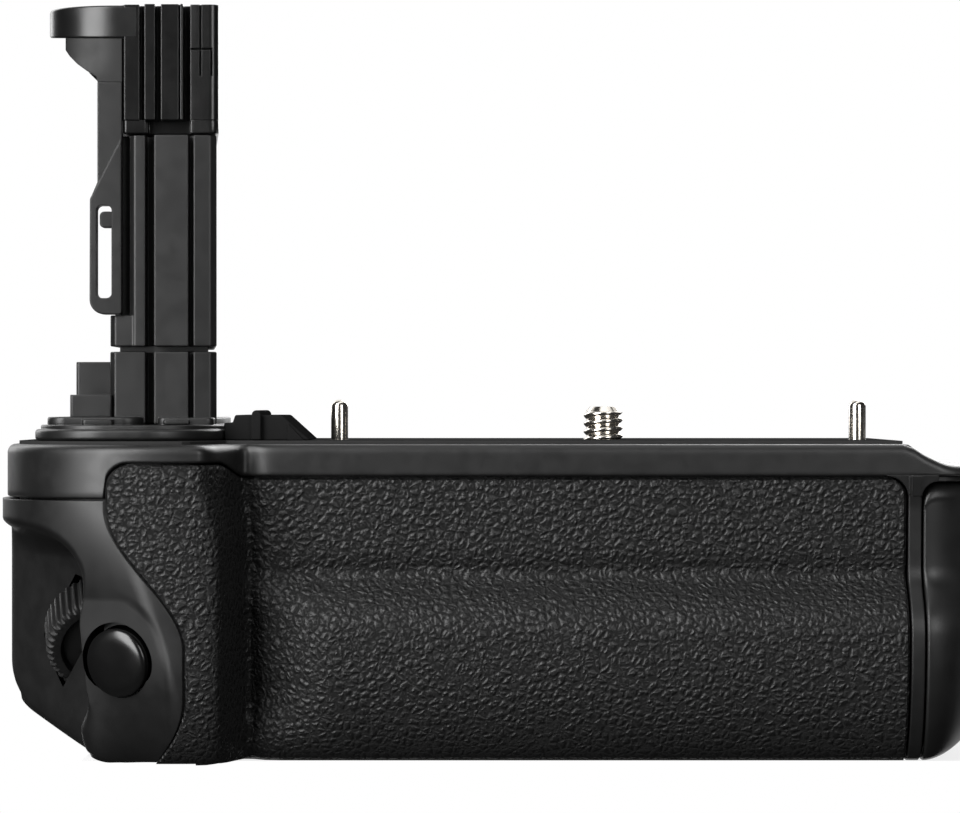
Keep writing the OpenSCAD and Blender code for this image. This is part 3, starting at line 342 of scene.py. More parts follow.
def metal(name, colour, rough, scratch_mm, bump_mm=0.004):
    made, tree, shader, coords = start_material(name)
    lines = add(tree, "Mapping", Vector=coords, Scale=(1.0, 1.0, STREAK_LONG))
    streak = noise(tree, lines.outputs["Vector"], scratch_mm, 3.0)
    darker = tuple(c * STREAK_DARK for c in colour)
    stops = [(MIDDLE[0], (*darker, 1.0)), (MIDDLE[1], (*colour, 1.0))]
    tree.links.new(ramp(tree, streak, stops), shader.inputs["Base Color"])
    streaks = span(tree, streak, *MIDDLE, rough * STREAK_LESS, rough * STREAK_MORE)
    tree.links.new(streaks, shader.inputs["Roughness"])
    shader.inputs["Metallic"].default_value = 1.0
    bump = add(tree, "Bump", Strength=STREAK_BUMP, Distance=bump_mm * MM, Height=streak)
    tree.links.new(bump.outputs["Normal"], shader.inputs["Normal"])
    return made


# Looks: a plastic has a dark and a light tone, roughness, grain, bump, edge rounding and specular level
looks = {
    "matte_black": plastic("matte_black_look", 0.005, 0.007, 0.42, 0.16, 0.008, 0.25, 0.5),
    "satin_black": plastic("satin_black_look", 0.004, 0.006, 0.30, 0.2, 0.004, 0.2),
    "half_gloss": plastic("half_gloss_look", 0.003, 0.005, 0.24, 0.3, 0.003, 0.2),
    "rough_black": plastic("rough_black_look", 0.005, 0.007, 0.56, 0.16, 0.008, 0.25, 0.4),
    "seat_matte": plastic("seat_matte_look", 0.026, 0.032, 0.6, 0.16, 0.008, 0.25, 0.0),
    "dull_black": plastic("dull_black_look", 0.010, 0.014, 0.6, 0.16, 0.008, 0.25, 0.0),
    "gloss_black": plastic("gloss_black_look", 0.003, 0.005, 0.2, 0.6, 0.003, 0.2),
    # Grip rubber: the crease tone 0.0015 is painted shade between the pebbles, 0.006 is the pebble tops
    "grip_rubber": pebbled("grip_rubber_look", 0.0015, 0.006),
    "steel": metal("steel_look", (0.60, 0.60, 0.61), 0.32, 0.5),
    "bright_nickel": metal("bright_nickel_look", (0.86, 0.81, 0.74), 0.18, 0.8, 0.001),
    "contact_metal": metal("contact_metal_look", (0.83, 0.60, 0.28), 0.28, 0.6),
    "board_green": plastic("board_green_look", 0.10, 0.16, 0.4, 0.5, 0.01, tint=(0.2, 1.0, 0.5)),
}
slot_of = {part["node"]: part["material_slot"] for part in frame["record"]["subparts"]}


def dress(obj, look):
    obj.data.materials.clear()
    obj.data.materials.append(look)


for name, obj in nodes.items():
    dress(obj, looks[slot_of[name]])
dress(nodes["top_plate"], looks["seat_matte"])


# Meshes
def mesh_object(name, verts, faces, body, slot, node=None, look=None, sharp=35.0):
    mesh = bpy.data.meshes.new(name)
    mesh.from_pydata([(x * MM, y * MM, z * MM) for x, y, z in verts], [], faces)
    mesh.validate()
    mesh.shade_smooth()
    mesh.set_sharp_from_angle(angle=math.radians(sharp))
    obj = bpy.data.objects.new(name, mesh)
    bpy.context.scene.collection.objects.link(obj)
    dress(obj, look or looks[slot])
    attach(obj, body)
    if node:
        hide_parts(node)
    return obj


def grid_slab(front, back):
    rows = len(front)
    cols = len(front[0])
    count = rows * cols
    verts = [p for row in front for p in row] + [p for row in back for p in row]
    faces = []
    for r in range(rows - 1):
        for c in range(cols - 1):
            a = r * cols + c
            faces.append((a, a + 1, a + cols + 1, a + cols))
            faces.append((count + a, count + a + cols, count + a + cols + 1, count + a + 1))
    edge = list(range(cols)) + [r * cols + cols - 1 for r in range(1, rows)]
    edge += [(rows - 1) * cols + c for c in range(cols - 2, -1, -1)]
    edge += [r * cols for r in range(rows - 2, 0, -1)]
    for p, q in zip(edge, edge[1:] + edge[:1]):
        faces.append((q, p, count + p, count + q))
    return verts, faces


def ring_faces(rows, cols, looped=False):
    faces = []
    if not looped:
        faces = [tuple(range(cols - 1, -1, -1)), tuple((rows - 1) * cols + k for k in range(cols))]
    for j in range(rows if looped else rows - 1):
        after = (j + 1) % rows
        for k in range(cols):
            n = (k + 1) % cols
            faces.append((j * cols + k, j * cols + n, after * cols + n, after * cols + k))
    return faces


# Front skin, finer than its solid, with a soft rolled edge
SKIN_COLS = 300
SKIN_ROWS = 130
ROLL = 0.5
SKIN_W = 119
SKIN_H = 45
SKIN_LIFT_Z = -16
SKIN_LOW = 0.3


def skin_point(c, r, inset):
    t = r / SKIN_ROWS
    z0 = mix(BASE_Z + SKIN_LOW, SKIN_TOP_L, t)
    lift = ease(SKIN_LIFT_Z, SKIN_TOP_L, z0)
    x = mix(skin_left(z0), skin_right(z0 - skin_drop(0) * lift), c / SKIN_COLS)
    z = z0 - skin_drop(x) * lift
    if inset == 0:
        u = c / SKIN_COLS
        near = min(u * SKIN_W, (1 - u) * SKIN_W, t * SKIN_H, (1 - t) * SKIN_H)
        inset = ROLL * quarter(clamp01(1 - near / ROLL))
    return (x, -front_p(x, z) + inset, z)


def skin_grid(inset):
    return [[skin_point(c, r, inset) for c in range(SKIN_COLS + 1)] for r in range(SKIN_ROWS + 1)]


mesh_object("front_skin_leather", *grid_slab(skin_grid(0), skin_grid(SKIN_T)), "grip_body", "grip_rubber",
            "front_skin")


# Shutter housing, finer than its solid
FACET_AT = (-65.4 - LOBE_C[0], -34.6 - LOBE_C[1])
FACET_LENS = (-3.0, 11.2, 10.2)
FACET_LIP = 0.22
FACET_OUT = 0.4
FACET_TILT = 0.14
FACET_TOP = -9.0
FACET_RUN = 14.5
FACET_SOFT = 0.6
LIP_OUT = (0.96, 1.1)
LIP_ACROSS = (0.3, 0.75)
SCOOP_TURN = 46.5
SCOOP_AT = (-80.2 - LOBE_C[0], -15.0 - LOBE_C[1])
SCOOP_OUT = 0.7
SCOOP_SOFT = 1.4
STEP_A = 233.5
ARCH_A = 203.0
ARCH_Z = (-26.0, -14.9)
ARCH_MM = 12.0
FOLD_LOW_Z = (-37.0, -44.0)
FOLD_HIGH_Z = (-28.0, -18.0)
FOLD_MM = (0.5, 2.9, 6.0)
FOLD_SHIFT = 5.0
FOOT_Z = -44
LOBE_TURN = (215, 262)
HEEL_TURN = (105, 150)
SEAM_GUESS = 262.0
SEAM_TRIES = 6
COLUMN_SPLIT = (0.4, 0.65)
COLUMN_NEAR = (8, 10)
ROW_BIAS = 1.25
FLOOR_REAR = 0.8
TOE_RUN = 4.0
STEP_PER_MM = 3.6
HOUSE_TOP = -SHOULDER_H - SEAM
TOE_X = (-75.2, 3.9 - LEFT_REACH)
TOE_SLOPE = 0.56
TOE_R = 3.0
TOE_END = 3.0
END_ROUND = (4.0, 1.2)
HOUSE_COLS = 260
TUCK = 1.7
TUCK_A = 3.5
HOUSE_ROWS = 120
FLOOR_ROWS = 8
FLOOR_T = 1.0
FLOOR_X = -62.3
FLOOR_Y = -21.0
FAR = 300.0
GUESS_Z = -40.0


def turned(degrees):
    a = math.radians(degrees)
    return (-math.sin(a), -math.cos(a))


def dot(a, b):
    return a[0] * b[0] + a[1] * b[1]


def direction(degrees):
    a = math.radians(degrees)
    return (math.cos(a), math.sin(a))


FACET_N = turned(FACET_TURN)
FACET_D = dot(FACET_N, FACET_AT)
FACET_HUB = (BUTTON_C[0] - LOBE_C[0], BUTTON_C[1] - LOBE_C[1])
SCOOP_N = turned(SCOOP_TURN)
SCOOP_D = dot(SCOOP_N, SCOOP_AT)


def end_radius(a):
    d = direction(a)
    if a > 180:
        return ((abs(d[0]) / LOBE_A) ** LOBE_N + (abs(d[1]) / LOBE_B) ** LOBE_N) ** (-1 / LOBE_N)
    c = (-LEFT_REACH + HEEL_R - LOBE_C[0], REAR_REACH - HEEL_R - LOBE_C[1])
    flat = min(LOBE_A / max(0.05, -d[0]), (REAR_REACH - LOBE_C[1]) / max(0.05, d[1]))
    if flat * d[0] < c[0] and flat * d[1] > c[1]:
        along = dot(d, c)
        return along + math.sqrt(max(0.0, along * along - dot(c, c) + HEEL_R * HEEL_R))
    return flat


def ray(n, d, dist):
    q = dot(n, d)
    return dist / q if q > 0.05 else FAR


def facet_lip(d, z):
    r = ray(FACET_N, d, FACET_D)
    along = (r * d[0] - FACET_HUB[0]) * -FACET_N[1] + (r * d[1] - FACET_HUB[1]) * FACET_N[0]
    across = max(0.0, along - FACET_LENS[0]) / FACET_LENS[1]
    out = math.hypot(across, max(0.0, z - BUTTON_C[2]) / FACET_LENS[2])
    return FACET_LIP * ease(*LIP_OUT, out) * ease(*LIP_ACROSS, across)


def face_r(d, z, outer, inset):
    level = FACET_D + FACET_OUT + FACET_TILT * (z - BUTTON_C[2]) + facet_lip(d, z)
    flat = soft_min(outer, ray(FACET_N, d, level - inset), FACET_SOFT)
    return mix(outer, flat, clamp01((FACET_TOP - z) / FACET_RUN))


def arch_out(a, z):
    across = max(0.0, a - ARCH_A) / (STEP_A - ARCH_A)
    up = max(0.0, z - ARCH_Z[0]) / (ARCH_Z[1] - ARCH_Z[0])
    return ARCH_MM * ((across ** 3 + up ** 3) ** (1 / 3) - 1)


def house_r(a, z, inset):
    d = direction(a)
    outer = end_radius(a) - inset
    hollow = soft_min(outer, ray(SCOOP_N, d, SCOOP_D + SCOOP_OUT - inset), SCOOP_SOFT)
    low = ease(*FOLD_LOW_Z, z)
    soft = FOLD_MM[0] + FOLD_MM[1] * ease(*FOLD_HIGH_Z, z) + FOLD_MM[2] * low
    fold = ease(-soft, soft, arch_out(a - inset * STEP_PER_MM, z) + FOLD_SHIFT * low)
    return mix(hollow, face_r(d, z, outer, inset), fold)


def low_z(x):
    run = max(0.0, TOE_X[0] - x)
    slope = TOE_SLOPE * (math.hypot(run, TOE_R) - TOE_R)
    return BASE_Z + slope + TOE_END * quarter(clamp01((TOE_X[1] - x) / TOE_RUN))


def round_in(a, z, low):
    w = 1 - ease(*HEEL_TURN, a)
    h = mix(END_ROUND[0], HEEL_LOW, w)
    return mix(END_ROUND[1], HEEL_LOW, w) * quarter(clamp01((low + h - z) / h))


def wall_r(a, z, inset):
    low = low_z(LOBE_C[0] + house_r(a, FOOT_Z, inset) * direction(a)[0])
    lobe = bottom_round(z, BASE_Z + LOBE_ROUND_H, LOBE_FRONT, LOBE_LIP)
    return house_r(a, z, inset) - mix(round_in(a, z, low), lobe, ease(*LOBE_TURN, a))


def seam_solve(z, inset):
    a = SEAM_GUESS
    for _ in range(SEAM_TRIES):
        reach = (skin_left(z) - SEAM - LOBE_C[0]) / wall_r(a, z, 0)
        a = 360 - math.degrees(math.acos(reach))
    return a


REAR_GUESS = 180 - math.degrees(math.atan2(REAR_REACH - LOBE_C[1], LOBE_C[0] - REAR_X))


def rear_solve(z, inset):
    return 180 - math.degrees(math.acos((LOBE_C[0] - REAR_X + SEAM / 2) / wall_r(REAR_GUESS, z, inset)))


TABLE_STEP = 0.2


def table(solve, inset):
    count = int((HOUSE_TOP - BASE_Z) / TABLE_STEP) + 2
    return [solve(BASE_Z + k * TABLE_STEP, inset) for k in range(count)]


def looked_up(values, z):
    place = max(0.0, (z - BASE_Z) / TABLE_STEP)
    k = min(int(place), len(values) - 2)
    return mix(values[k], values[k + 1], place - k)


def column_a(c, first, last):
    u = min(1.0, c / (HOUSE_COLS - 1))
    early, late = COLUMN_SPLIT
    before = STEP_A - COLUMN_NEAR[0]
    behind = STEP_A + COLUMN_NEAR[1]
    if u < early:
        return mix(first, before, u / early)
    if u < late:
        return mix(before, behind, (u - early) / (late - early))
    return mix(behind, last, (u - late) / (1 - late))


def house_point(r, c, inset, firsts, lasts):
    t = min(1.0, r / HOUSE_ROWS)
    u = max(0, r - HOUSE_ROWS) / FLOOR_ROWS
    guess = column_a(c, looked_up(firsts, GUESS_Z), looked_up(lasts, GUESS_Z))
    low = low_z(LOBE_C[0] + house_r(guess, FOOT_Z, inset) * direction(guess)[0])
    lift = FLOOR_T if inset else 0.0
    z = mix(HOUSE_TOP, low + lift, 1 - (1 - t) ** ROW_BIAS)
    a = column_a(c, looked_up(firsts, z), looked_up(lasts, max(z, BASE_Z + 1)))
    reach = wall_r(a, z, inset)
    if c == HOUSE_COLS:
        a += TUCK_A
        reach -= TUCK
    d = direction(a)
    rim = (LOBE_C[0] + reach * d[0], LOBE_C[1] + reach * d[1])
    if u == 0:
        return (rim[0], rim[1], z)
    x = mix(rim[0], FLOOR_X, u * u)
    y = min(REAR_REACH - HEEL_LOW - FLOOR_REAR, mix(rim[1], max(rim[1], FLOOR_Y), math.sqrt(u)))
    return (x, y, low_z(x) + lift)


def house_grid(inset):
    firsts = table(rear_solve, inset)
    lasts = table(seam_solve, 0)
    rows = HOUSE_ROWS + FLOOR_ROWS + 1
    return [[house_point(r, c, inset, firsts, lasts) for c in range(HOUSE_COLS + 1)] for r in range(rows)]


def turned_mesh(profile, steps):
    verts = [(r * math.cos(2 * math.pi * k / steps), r * math.sin(2 * math.pi * k / steps), h)
             for r, h in profile for k in range(steps)]
    return verts, ring_faces(len(profile), steps)


def placed(at, yaw, tilt):
    return (Matrix.Translation([v * MM for v in at]) @ Matrix.Rotation(math.radians(yaw), 4, "Z")
            @ Matrix.Rotation(math.radians(tilt), 4, "X"))


BUTTON_PLACE = placed(BUTTON_C, -FACET_TURN, 90 + math.degrees(math.atan(FACET_TILT)))
DIAL_PLACE = placed(DIAL_C, DIAL_YAW, 90 + DIAL_PITCH)


def carve(obj, place, profile, steps=96):
    cut_mesh(obj, place, *turned_mesh(profile, steps))


def cut_prism(obj, outline, axis, low, high):
    cut_mesh(obj, Matrix.Identity(4), *prism(outline, axis, low, high, 0.0), crossing=True)


def cut_mesh(obj, place, verts, faces, crossing=False):
    mesh = bpy.data.meshes.new("cutter")
    mesh.from_pydata([place @ Vector([v * MM for v in p]) for p in verts], [], faces)
    cutter = bpy.data.objects.new("cutter", mesh)
    bpy.context.scene.collection.objects.link(cutter)
    cut = obj.modifiers.new("cut", "BOOLEAN")
    cut.operation = "DIFFERENCE"
    cut.solver = "EXACT"
    cut.use_self = crossing
    cut.object = cutter
    seen_by = bpy.context.evaluated_depsgraph_get()
    result = bpy.data.meshes.new_from_object(obj.evaluated_get(seen_by))
    obj.modifiers.clear()
    obj.data = result
    bpy.data.objects.remove(cutter)


BUTTON_GAP = 0.19
BUTTON_HOLE = (-20, 10)
DIAL_GAP = 0.45
HOUSE_SHARP = 32
housing = mesh_object("shutter_housing_shell", *grid_slab(house_grid(0), house_grid(WALL)), "grip_body",
                      "matte_black", "shutter_housing")
carve(housing, BUTTON_PLACE, [(BUTTON_R + BUTTON_GAP, level) for level in BUTTON_HOLE])
ring_profile = [(0.2, -0.22), (0.45, -0.18), (0.75, -0.09), (1.0, 0.03), (1.25, 0.18), (2.2, 3.0)]
carve(housing, BUTTON_PLACE, [(BUTTON_R + out, FACET_OUT + up) for out, up in ring_profile])
carve(housing, DIAL_PLACE, [(DIAL_R + DIAL_GAP, -DIAL_W - DIAL_GAP), (DIAL_R + DIAL_GAP, DIAL_GAP)])
housing.data.shade_smooth()
housing.data.set_sharp_from_angle(angle=math.radians(HOUSE_SHARP))


# Solids with rounded edges
AXIS_ORDER = {"X": (2, 0, 1), "Y": (0, 2, 1), "Z": (0, 1, 2)}
EDGE_ANGLE = 25.0


def taken(made):
    made.verts.index_update()
    verts = [tuple(v.co) for v in made.verts]
    faces = [tuple(v.index for v in f.verts) for f in made.faces]
    made.free()
    return verts, faces


def prism(outline, axis, low, high, edge=0.2, steps=3):
    made = bmesh.new()
    rings = []
    for level in (low, high):
        flats = [(a, b, level) for a, b in outline]
        rings.append([made.verts.new([flat[k] for k in AXIS_ORDER[axis]]) for flat in flats])
    made.faces.new(rings[0])
    made.faces.new(rings[1])
    for k in range(len(outline)):
        n = (k + 1) % len(outline)
        made.faces.new((rings[0][k], rings[0][n], rings[1][n], rings[1][k]))
    bmesh.ops.recalc_face_normals(made, faces=made.faces)
    if edge:
        hard = [e for e in made.edges if e.calc_face_angle(0) > math.radians(EDGE_ANGLE)]
        bmesh.ops.bevel(made, geom=hard, offset=edge, segments=steps, profile=0.5, affect="EDGES",
                        clamp_overlap=True)
    return taken(made)


def joined(*parts):
    verts = []
    faces = []
    for part_verts, part_faces in parts:
        start = len(verts)
        verts += part_verts
        faces += [tuple(start + k for k in face) for face in part_faces]
    return verts, faces


def flat_faces(obj):
    obj.modifiers.new("flat_faces", "WEIGHTED_NORMAL").keep_sharp = True
    return obj


def block(name, parts, node, slot="matte_black", look=None):
    return flat_faces(mesh_object(name, *joined(*parts), "grip_body", slot, node, look, sharp=60.0))


def cut_box(obj, low, high):
    place = Matrix.Translation([(a + b) / 2 * MM for a, b in zip(low, high)])
    half = [(b - a) / 2 for a, b in zip(low, high)]
    corners = [(x, y, z) for z in (-1, 1) for x, y in ((-1, -1), (1, -1), (1, 1), (-1, 1))]
    verts = [(x * half[0], y * half[1], z * half[2]) for x, y, z in corners]
    faces = [(3, 2, 1, 0), (4, 5, 6, 7)] + [(k, (k + 1) % 4, 4 + (k + 1) % 4, 4 + k) for k in range(4)]
    cut_mesh(obj, place, verts, faces, crossing=True)


# Tower: foot, column, head, cap, straps
TOWER_H = 66.8
TX0 = -76.2
TX1 = -59.8
TY0 = -16.0
TY1 = 20.0
DRAFT = 2.8
NECK_Z = 13.6
COLUMN_Z0 = 14.4
COLUMN_Z1 = TOWER_H - 20
HEAD_Z0 = COLUMN_Z1 + 0.25
COLUMN_LEFT = TX0 + 3
GROOVE = (TX0 + 5.5, TX0 + 6.9)
LINE = (TX1 - 4.2, TX1 - 3.5)
FLANGE = (-87.6, -58.8)
CLIP_Y = ((TY0 + 0.9, TY0 + 3.2), (TY1 - 3.2, TY1 - 0.9))


def column_plan(x0, x1):
    return [(x0, TY0 + 2.1), (x0 + 0.8, TY0 + 1.1), (GROOVE[0], TY0 + 1.1), (GROOVE[0], TY0 + 4),
            (GROOVE[1], TY0 + 4), (GROOVE[1], TY0), (LINE[0], TY0), (LINE[0], TY0 + 2), (LINE[1], TY0 + 2),
            (LINE[1], TY0 + 0.5), (x1 - 0.9, TY0 + 0.8), (x1, TY0 + 1.7),
            (x1 - DRAFT, TY1 - 1), (x1 - DRAFT - 1, TY1), (x0 + 1, TY1), (x0, TY1 - 1)]


# Steps of the foot and lug: left, right, front, rear, corner radius and steps, bottom, top, edge
FOOT_STEPS = (
    (FLANGE[0], FLANGE[1], -26, 25, 12, 14, 0.02, 1.75, 0.5),
    (FLANGE[0] + 0.8, FLANGE[1] - 0.3, -24.5, 23.5, 11, 14, 1.5, 2.4, 0.25),
    (FLANGE[0] + 2, -71.0, -18.6, 21.5, 3, 8, 2.3, 3.6, 0.3),
    (-68.6, TX1 - 0.2, -18.2, 20.5, 1.2, 4, 2.3, 3.5, 0.2),
    (-80.0, -75.2, -19.4, -17.0, 0.6, 3, 2.4, 3.2, 0.15),
    (-67.6, -63.6, -18.9, -17.0, 0.4, 3, 2.5, 3.1, 0.12),
)
LUG_STEPS = (
    (-82.0, TX0 - 0.02, -9, 13, 0.5, 3, 6.8, 12.1, 0.3),
    (-82.2, TX0 + 0.4, -15.5, 15, 0.4, 3, 3.55, 7.0, 0.25),
)
COLUMN_EDGE = 0.22
FOOT_TOP = 2.5
NECK_IN = 1.4
NECK_FRONT = TY0 + 3.2
NECK_PLAN = [(TX0 + NECK_IN, NECK_FRONT), (TX1 - NECK_IN, NECK_FRONT), (TX1 - NECK_IN - DRAFT, TY1 - NECK_IN),
             (TX0 + NECK_IN, TY1 - NECK_IN)]


def step_block(x0, x1, y0, y1, r, steps, low, high, edge):
    return prism(round_rect(x0, x1, y0, y1, r, steps), "Z", low, high, edge)


block("tower_foot", [step_block(*row) for row in FOOT_STEPS] + [
    prism(column_plan(TX0, TX1), "Z", FOOT_TOP, NECK_Z, COLUMN_EDGE),
    prism(NECK_PLAN, "Z", NECK_Z - 0.2, COLUMN_Z0 + 0.1, 0.0),
], "tower_base")
block("tower_post", [
    prism(column_plan(COLUMN_LEFT, TX1), "Z", COLUMN_Z0, COLUMN_Z1, COLUMN_EDGE),
    prism([(TX0, TY0 + 2.4), (TX0 + 0.8, TY0 + 1.4), (COLUMN_LEFT + 1, TY0 + 1.35),
           (COLUMN_LEFT + 1, TY1 - 0.02), (TX0 + 1, TY1 - 0.02), (TX0, TY1 - 1)],
          "Z", COLUMN_Z0 + 0.02, COLUMN_Z0 + 4.8, COLUMN_EDGE),
    prism([(COLUMN_LEFT - 1.5, CLIP_Y[0][1] + SEAM), (COLUMN_LEFT + 1, CLIP_Y[0][1] + SEAM),
           (COLUMN_LEFT + 1, CLIP_Y[1][0] - SEAM), (COLUMN_LEFT - 1.5, CLIP_Y[1][0] - SEAM)],
          "Z", COLUMN_Z0 + 1, COLUMN_Z1, 0.2),
], "tower_column")

HEAD_LEDGE = 49.1
HEAD_PLAN = [(-74.4, TY0 + 1.9), (-73.9, TY0 + 0.9), (-71.6, TY0 + 0.9), (-71.6, TY0 + 2.9),
             (-70.75, TY0 + 2.9), (-70.75, TY0 + 0.1), (-69.15, TY0 + 0.1), (-69.15, TY0 + 2.9),
             (-68.25, TY0 + 2.9), (-68.25, TY0 + 0.3), (-65.55, TY0 + 0.3), (-65.45, TY0 + 1.0),
             (-65.3, TY0 + 1.0), (-65.25, TY0), (-64.85, TY0), (-64.8, TY0 + 3.2),
             (-63.8, TY0 + 3.2), (-63.8, TY0 + 0.95)]
HEAD_SIDE = [(-63.1, TY0 + 0.9), (-61.0, TY0 + 0.8)] + arc((-60.7, TY0 + 2.0), 1.2, -90, 0, 7)
HEAD_REAR = [(TX1 + 0.3 - DRAFT, TY1 - 1.2), (TX1 - 0.7 - DRAFT, TY1), (-73.4, TY1), (-74.4, TY1 - 1)]
HEAD_FOOT = [(-74.2, TY0 + 1.6), (-73.8, TY0 + 1.1), (-70.6, TY0 + 1.1), (-70.4, TY0 + 3.1),
             (-64.8, TY0 + 3.2), (-63.8, TY0 + 3.2), (-63.8, TY0 + 0.95)]
head = block("tower_head_block", [
    prism(HEAD_PLAN + HEAD_SIDE + HEAD_REAR, "Z", HEAD_LEDGE, TOWER_H, 0.2),
    prism(HEAD_FOOT + HEAD_SIDE + HEAD_REAR, "Z", HEAD_Z0, HEAD_LEDGE + 0.05, 0.2),
], "tower_head", "gloss_black", looks["half_gloss"])
SLIT = 0.32
SLIT_DEEP = TY0 + 1.6
for low, high in (((-62.4, TY0 - 1, 55.9), (-62.4 + SLIT, SLIT_DEEP, TOWER_H + 1)),
                  ((-63.7, TY0 - 1, 59.8), (-60.4, SLIT_DEEP, 59.8 + SLIT)),
                  ((-60.7, TY0 - 1, 55.9), (-60.7 + SLIT, SLIT_DEEP, 59.9))):
    cut_box(head, low, high)
flat_faces(head)

CAP_EDGE_X = -75.0
CAP_RIGHT = -71.8
CAP_WIDE = 11.4
CAP_DEEP = 9.5
CAP_FRONT = TY0 + 0.88
CAP_REAR = TY1
CAP_LOW = TOWER_H - 5.2
CAP_DRAFT = 0.108
CAP_EDGE = 0.4
CAP_STEPS = 30
CAP_SKIRT = 0.6


def cap_outline():
    turn = [(CAP_EDGE_X - CAP_WIDE * math.cos(a), CAP_DEEP * (1 - math.sin(a))) for a in
            (math.radians(mix(90, 0, k / CAP_STEPS)) for k in range(CAP_STEPS + 1))]
    front = [(CAP_RIGHT, CAP_FRONT)] + [(x, CAP_FRONT + y) for x, y in turn]
    return front + [(x, CAP_REAR + CAP_FRONT - y) for x, y in reversed(front)]


def cap_under(y):
    return CAP_LOW + CAP_DRAFT * (y - CAP_FRONT)


cap_verts, cap_faces = prism(cap_outline(), "Z", CAP_LOW, TOWER_H - 0.1, CAP_EDGE)
cap_verts = [(x, y, z + cap_under(y) - CAP_LOW if z < CAP_LOW + CAP_SKIRT else z) for x, y, z in cap_verts]
block("head_cap_rim", [(cap_verts, cap_faces)], "head_cap", look=looks["satin_black"])

CLIP_X = -79.2
CLIP_TOP = TOWER_H - 5.25
STRAP_SHIFT = 0.5
STRAP_R = 2.3
STRAP_TURN = (186, 270, 8)
WEB = [(CLIP_X - 4.1, CLIP_TOP), (CLIP_X - 4.1, CLIP_TOP - 1.4), (CLIP_X - 3.4, CLIP_TOP - 2.4),
       (CLIP_X - 2.2, CLIP_TOP - 3.6), (CLIP_X - 0.7, CLIP_TOP - 4.7), (CLIP_X + 0.7, CLIP_TOP - 5.5),
       (CLIP_X + 1.1, CLIP_TOP - 5.9), (CLIP_X + 1.15, CLIP_TOP - 6.6)]
WEB_COLS = 48
WEB_ROWS = 10
WEB_SINK = 0.35
WEB_T = 2.2
WEB_BEND_H = 4
WEB_END = -74.3


def web_low(x):
    for (x0, z0), (x1, z1) in zip(WEB[1:], WEB[2:]):
        if x0 <= x < x1:
            return mix(z0, z1, (x - x0) / (x1 - x0))
    return WEB[-1][1]


def web_grid(sink, mirrored):
    grid = []
    for r in range(WEB_ROWS + 1):
        row = []
        for c in range(WEB_COLS + 1):
            x = mix(WEB[1][0] + 0.01, WEB_END, c / WEB_COLS)
            z = mix(web_low(x), CAP_LOW + CAP_SKIRT, r / WEB_ROWS)
            bend = CAP_DEEP * ease(WEB[-1][1], WEB[-1][1] + WEB_BEND_H, z)
            y = CAP_FRONT + bend * quarter(clamp01((CAP_EDGE_X - x) / CAP_WIDE)) + sink
            y = CAP_FRONT + CAP_REAR - y if mirrored else y
            row.append((x, y, z if r < WEB_ROWS else cap_under(y) + CAP_SKIRT))
        grid.append(row)
    return grid


webs = [grid_slab(web_grid(WEB_SINK, side), web_grid(WEB_SINK + WEB_T, side)) for side in (False, True)]
mesh_object("cover_strap_webs", *joined(*webs), "grip_body", "matte_black", look=looks["rough_black"],
            sharp=50.0)
STRAP_Z = 21.6
STRAP_END = [(CLIP_X, STRAP_Z)] + arc((CLIP_X + STRAP_R, STRAP_Z), STRAP_R, *STRAP_TURN)
FRAME_OUT = [(CLIP_X + 1.15, 39.6), (CLIP_X, 36.9)] + STRAP_END
FRAME_IN = [(-74.5, 19.3), (-74.3, 19.6)]
SLOT_HOLE = (-78.15, -75.8, 21.8, 36.0)
HOOK = (-77.7, -75.5, 32.6, 35.1)
straps = []
for y0, y1 in CLIP_Y:
    outer = y0 if y0 < 0 else y1
    lift = -STRAP_SHIFT if y0 < 0 else STRAP_SHIFT
    straps.append(prism(WEB[-1:] + FRAME_OUT + FRAME_IN + [(WEB_END, WEB[-1][1])], "Y", y0, y1, 0.14))
    straps.append(prism([(-74.35, 46.4), (CLIP_X + 0.05, 37.0)] + STRAP_END + FRAME_IN,
                        "Y", min(outer, outer + lift), max(outer, outer + lift), 0.2))
clips = mesh_object("cover_strap", *joined(*straps), "grip_body", "matte_black", "cover_clips", sharp=60.0)
for y0, y1 in CLIP_Y:
    cut_prism(clips, round_rect(*SLOT_HOLE, 0.8, 5), "Y", y0 - 1, y1 + 1)
flat_faces(clips)
block_hooks = [prism(round_rect(*HOOK, 0.7, 5), "Y", y0 + 0.1, y1 - 0.1, 0.2) for y0, y1 in CLIP_Y]
flat_faces(mesh_object("cover_strap_hooks", *joined(*block_hooks), "grip_body", "matte_black", sharp=60.0))

block("side_lug_block", [step_block(*row) for row in LUG_STEPS], "side_lug")
WEDGE_SIDE = [(-58.7, 0.02), (-58.7, 2.7), (-57.4, 2.7), (-57.0, 3.9), (-49.8, 3.9), (-45.5, 0.02)]
block("hinge_wedge", [
    prism(WEDGE_SIDE, "Y", -14, 12, 0.25),
    prism([(-48.9, 0.02), (-48.9, 2.6), (-46.4, 0.02)], "Y", -14.4, -13, 0.1),
    prism([(-54.4, 0.1), (-54.4, 4.0)] + arc((-53.7, 3.95), 0.7, 160, 20, 5) + [(-53.0, 4.0), (-53.0, 0.1)],
          "Y", -14.9, 12.6, 0.15),
], "hinge_block", look=looks["dull_black"])


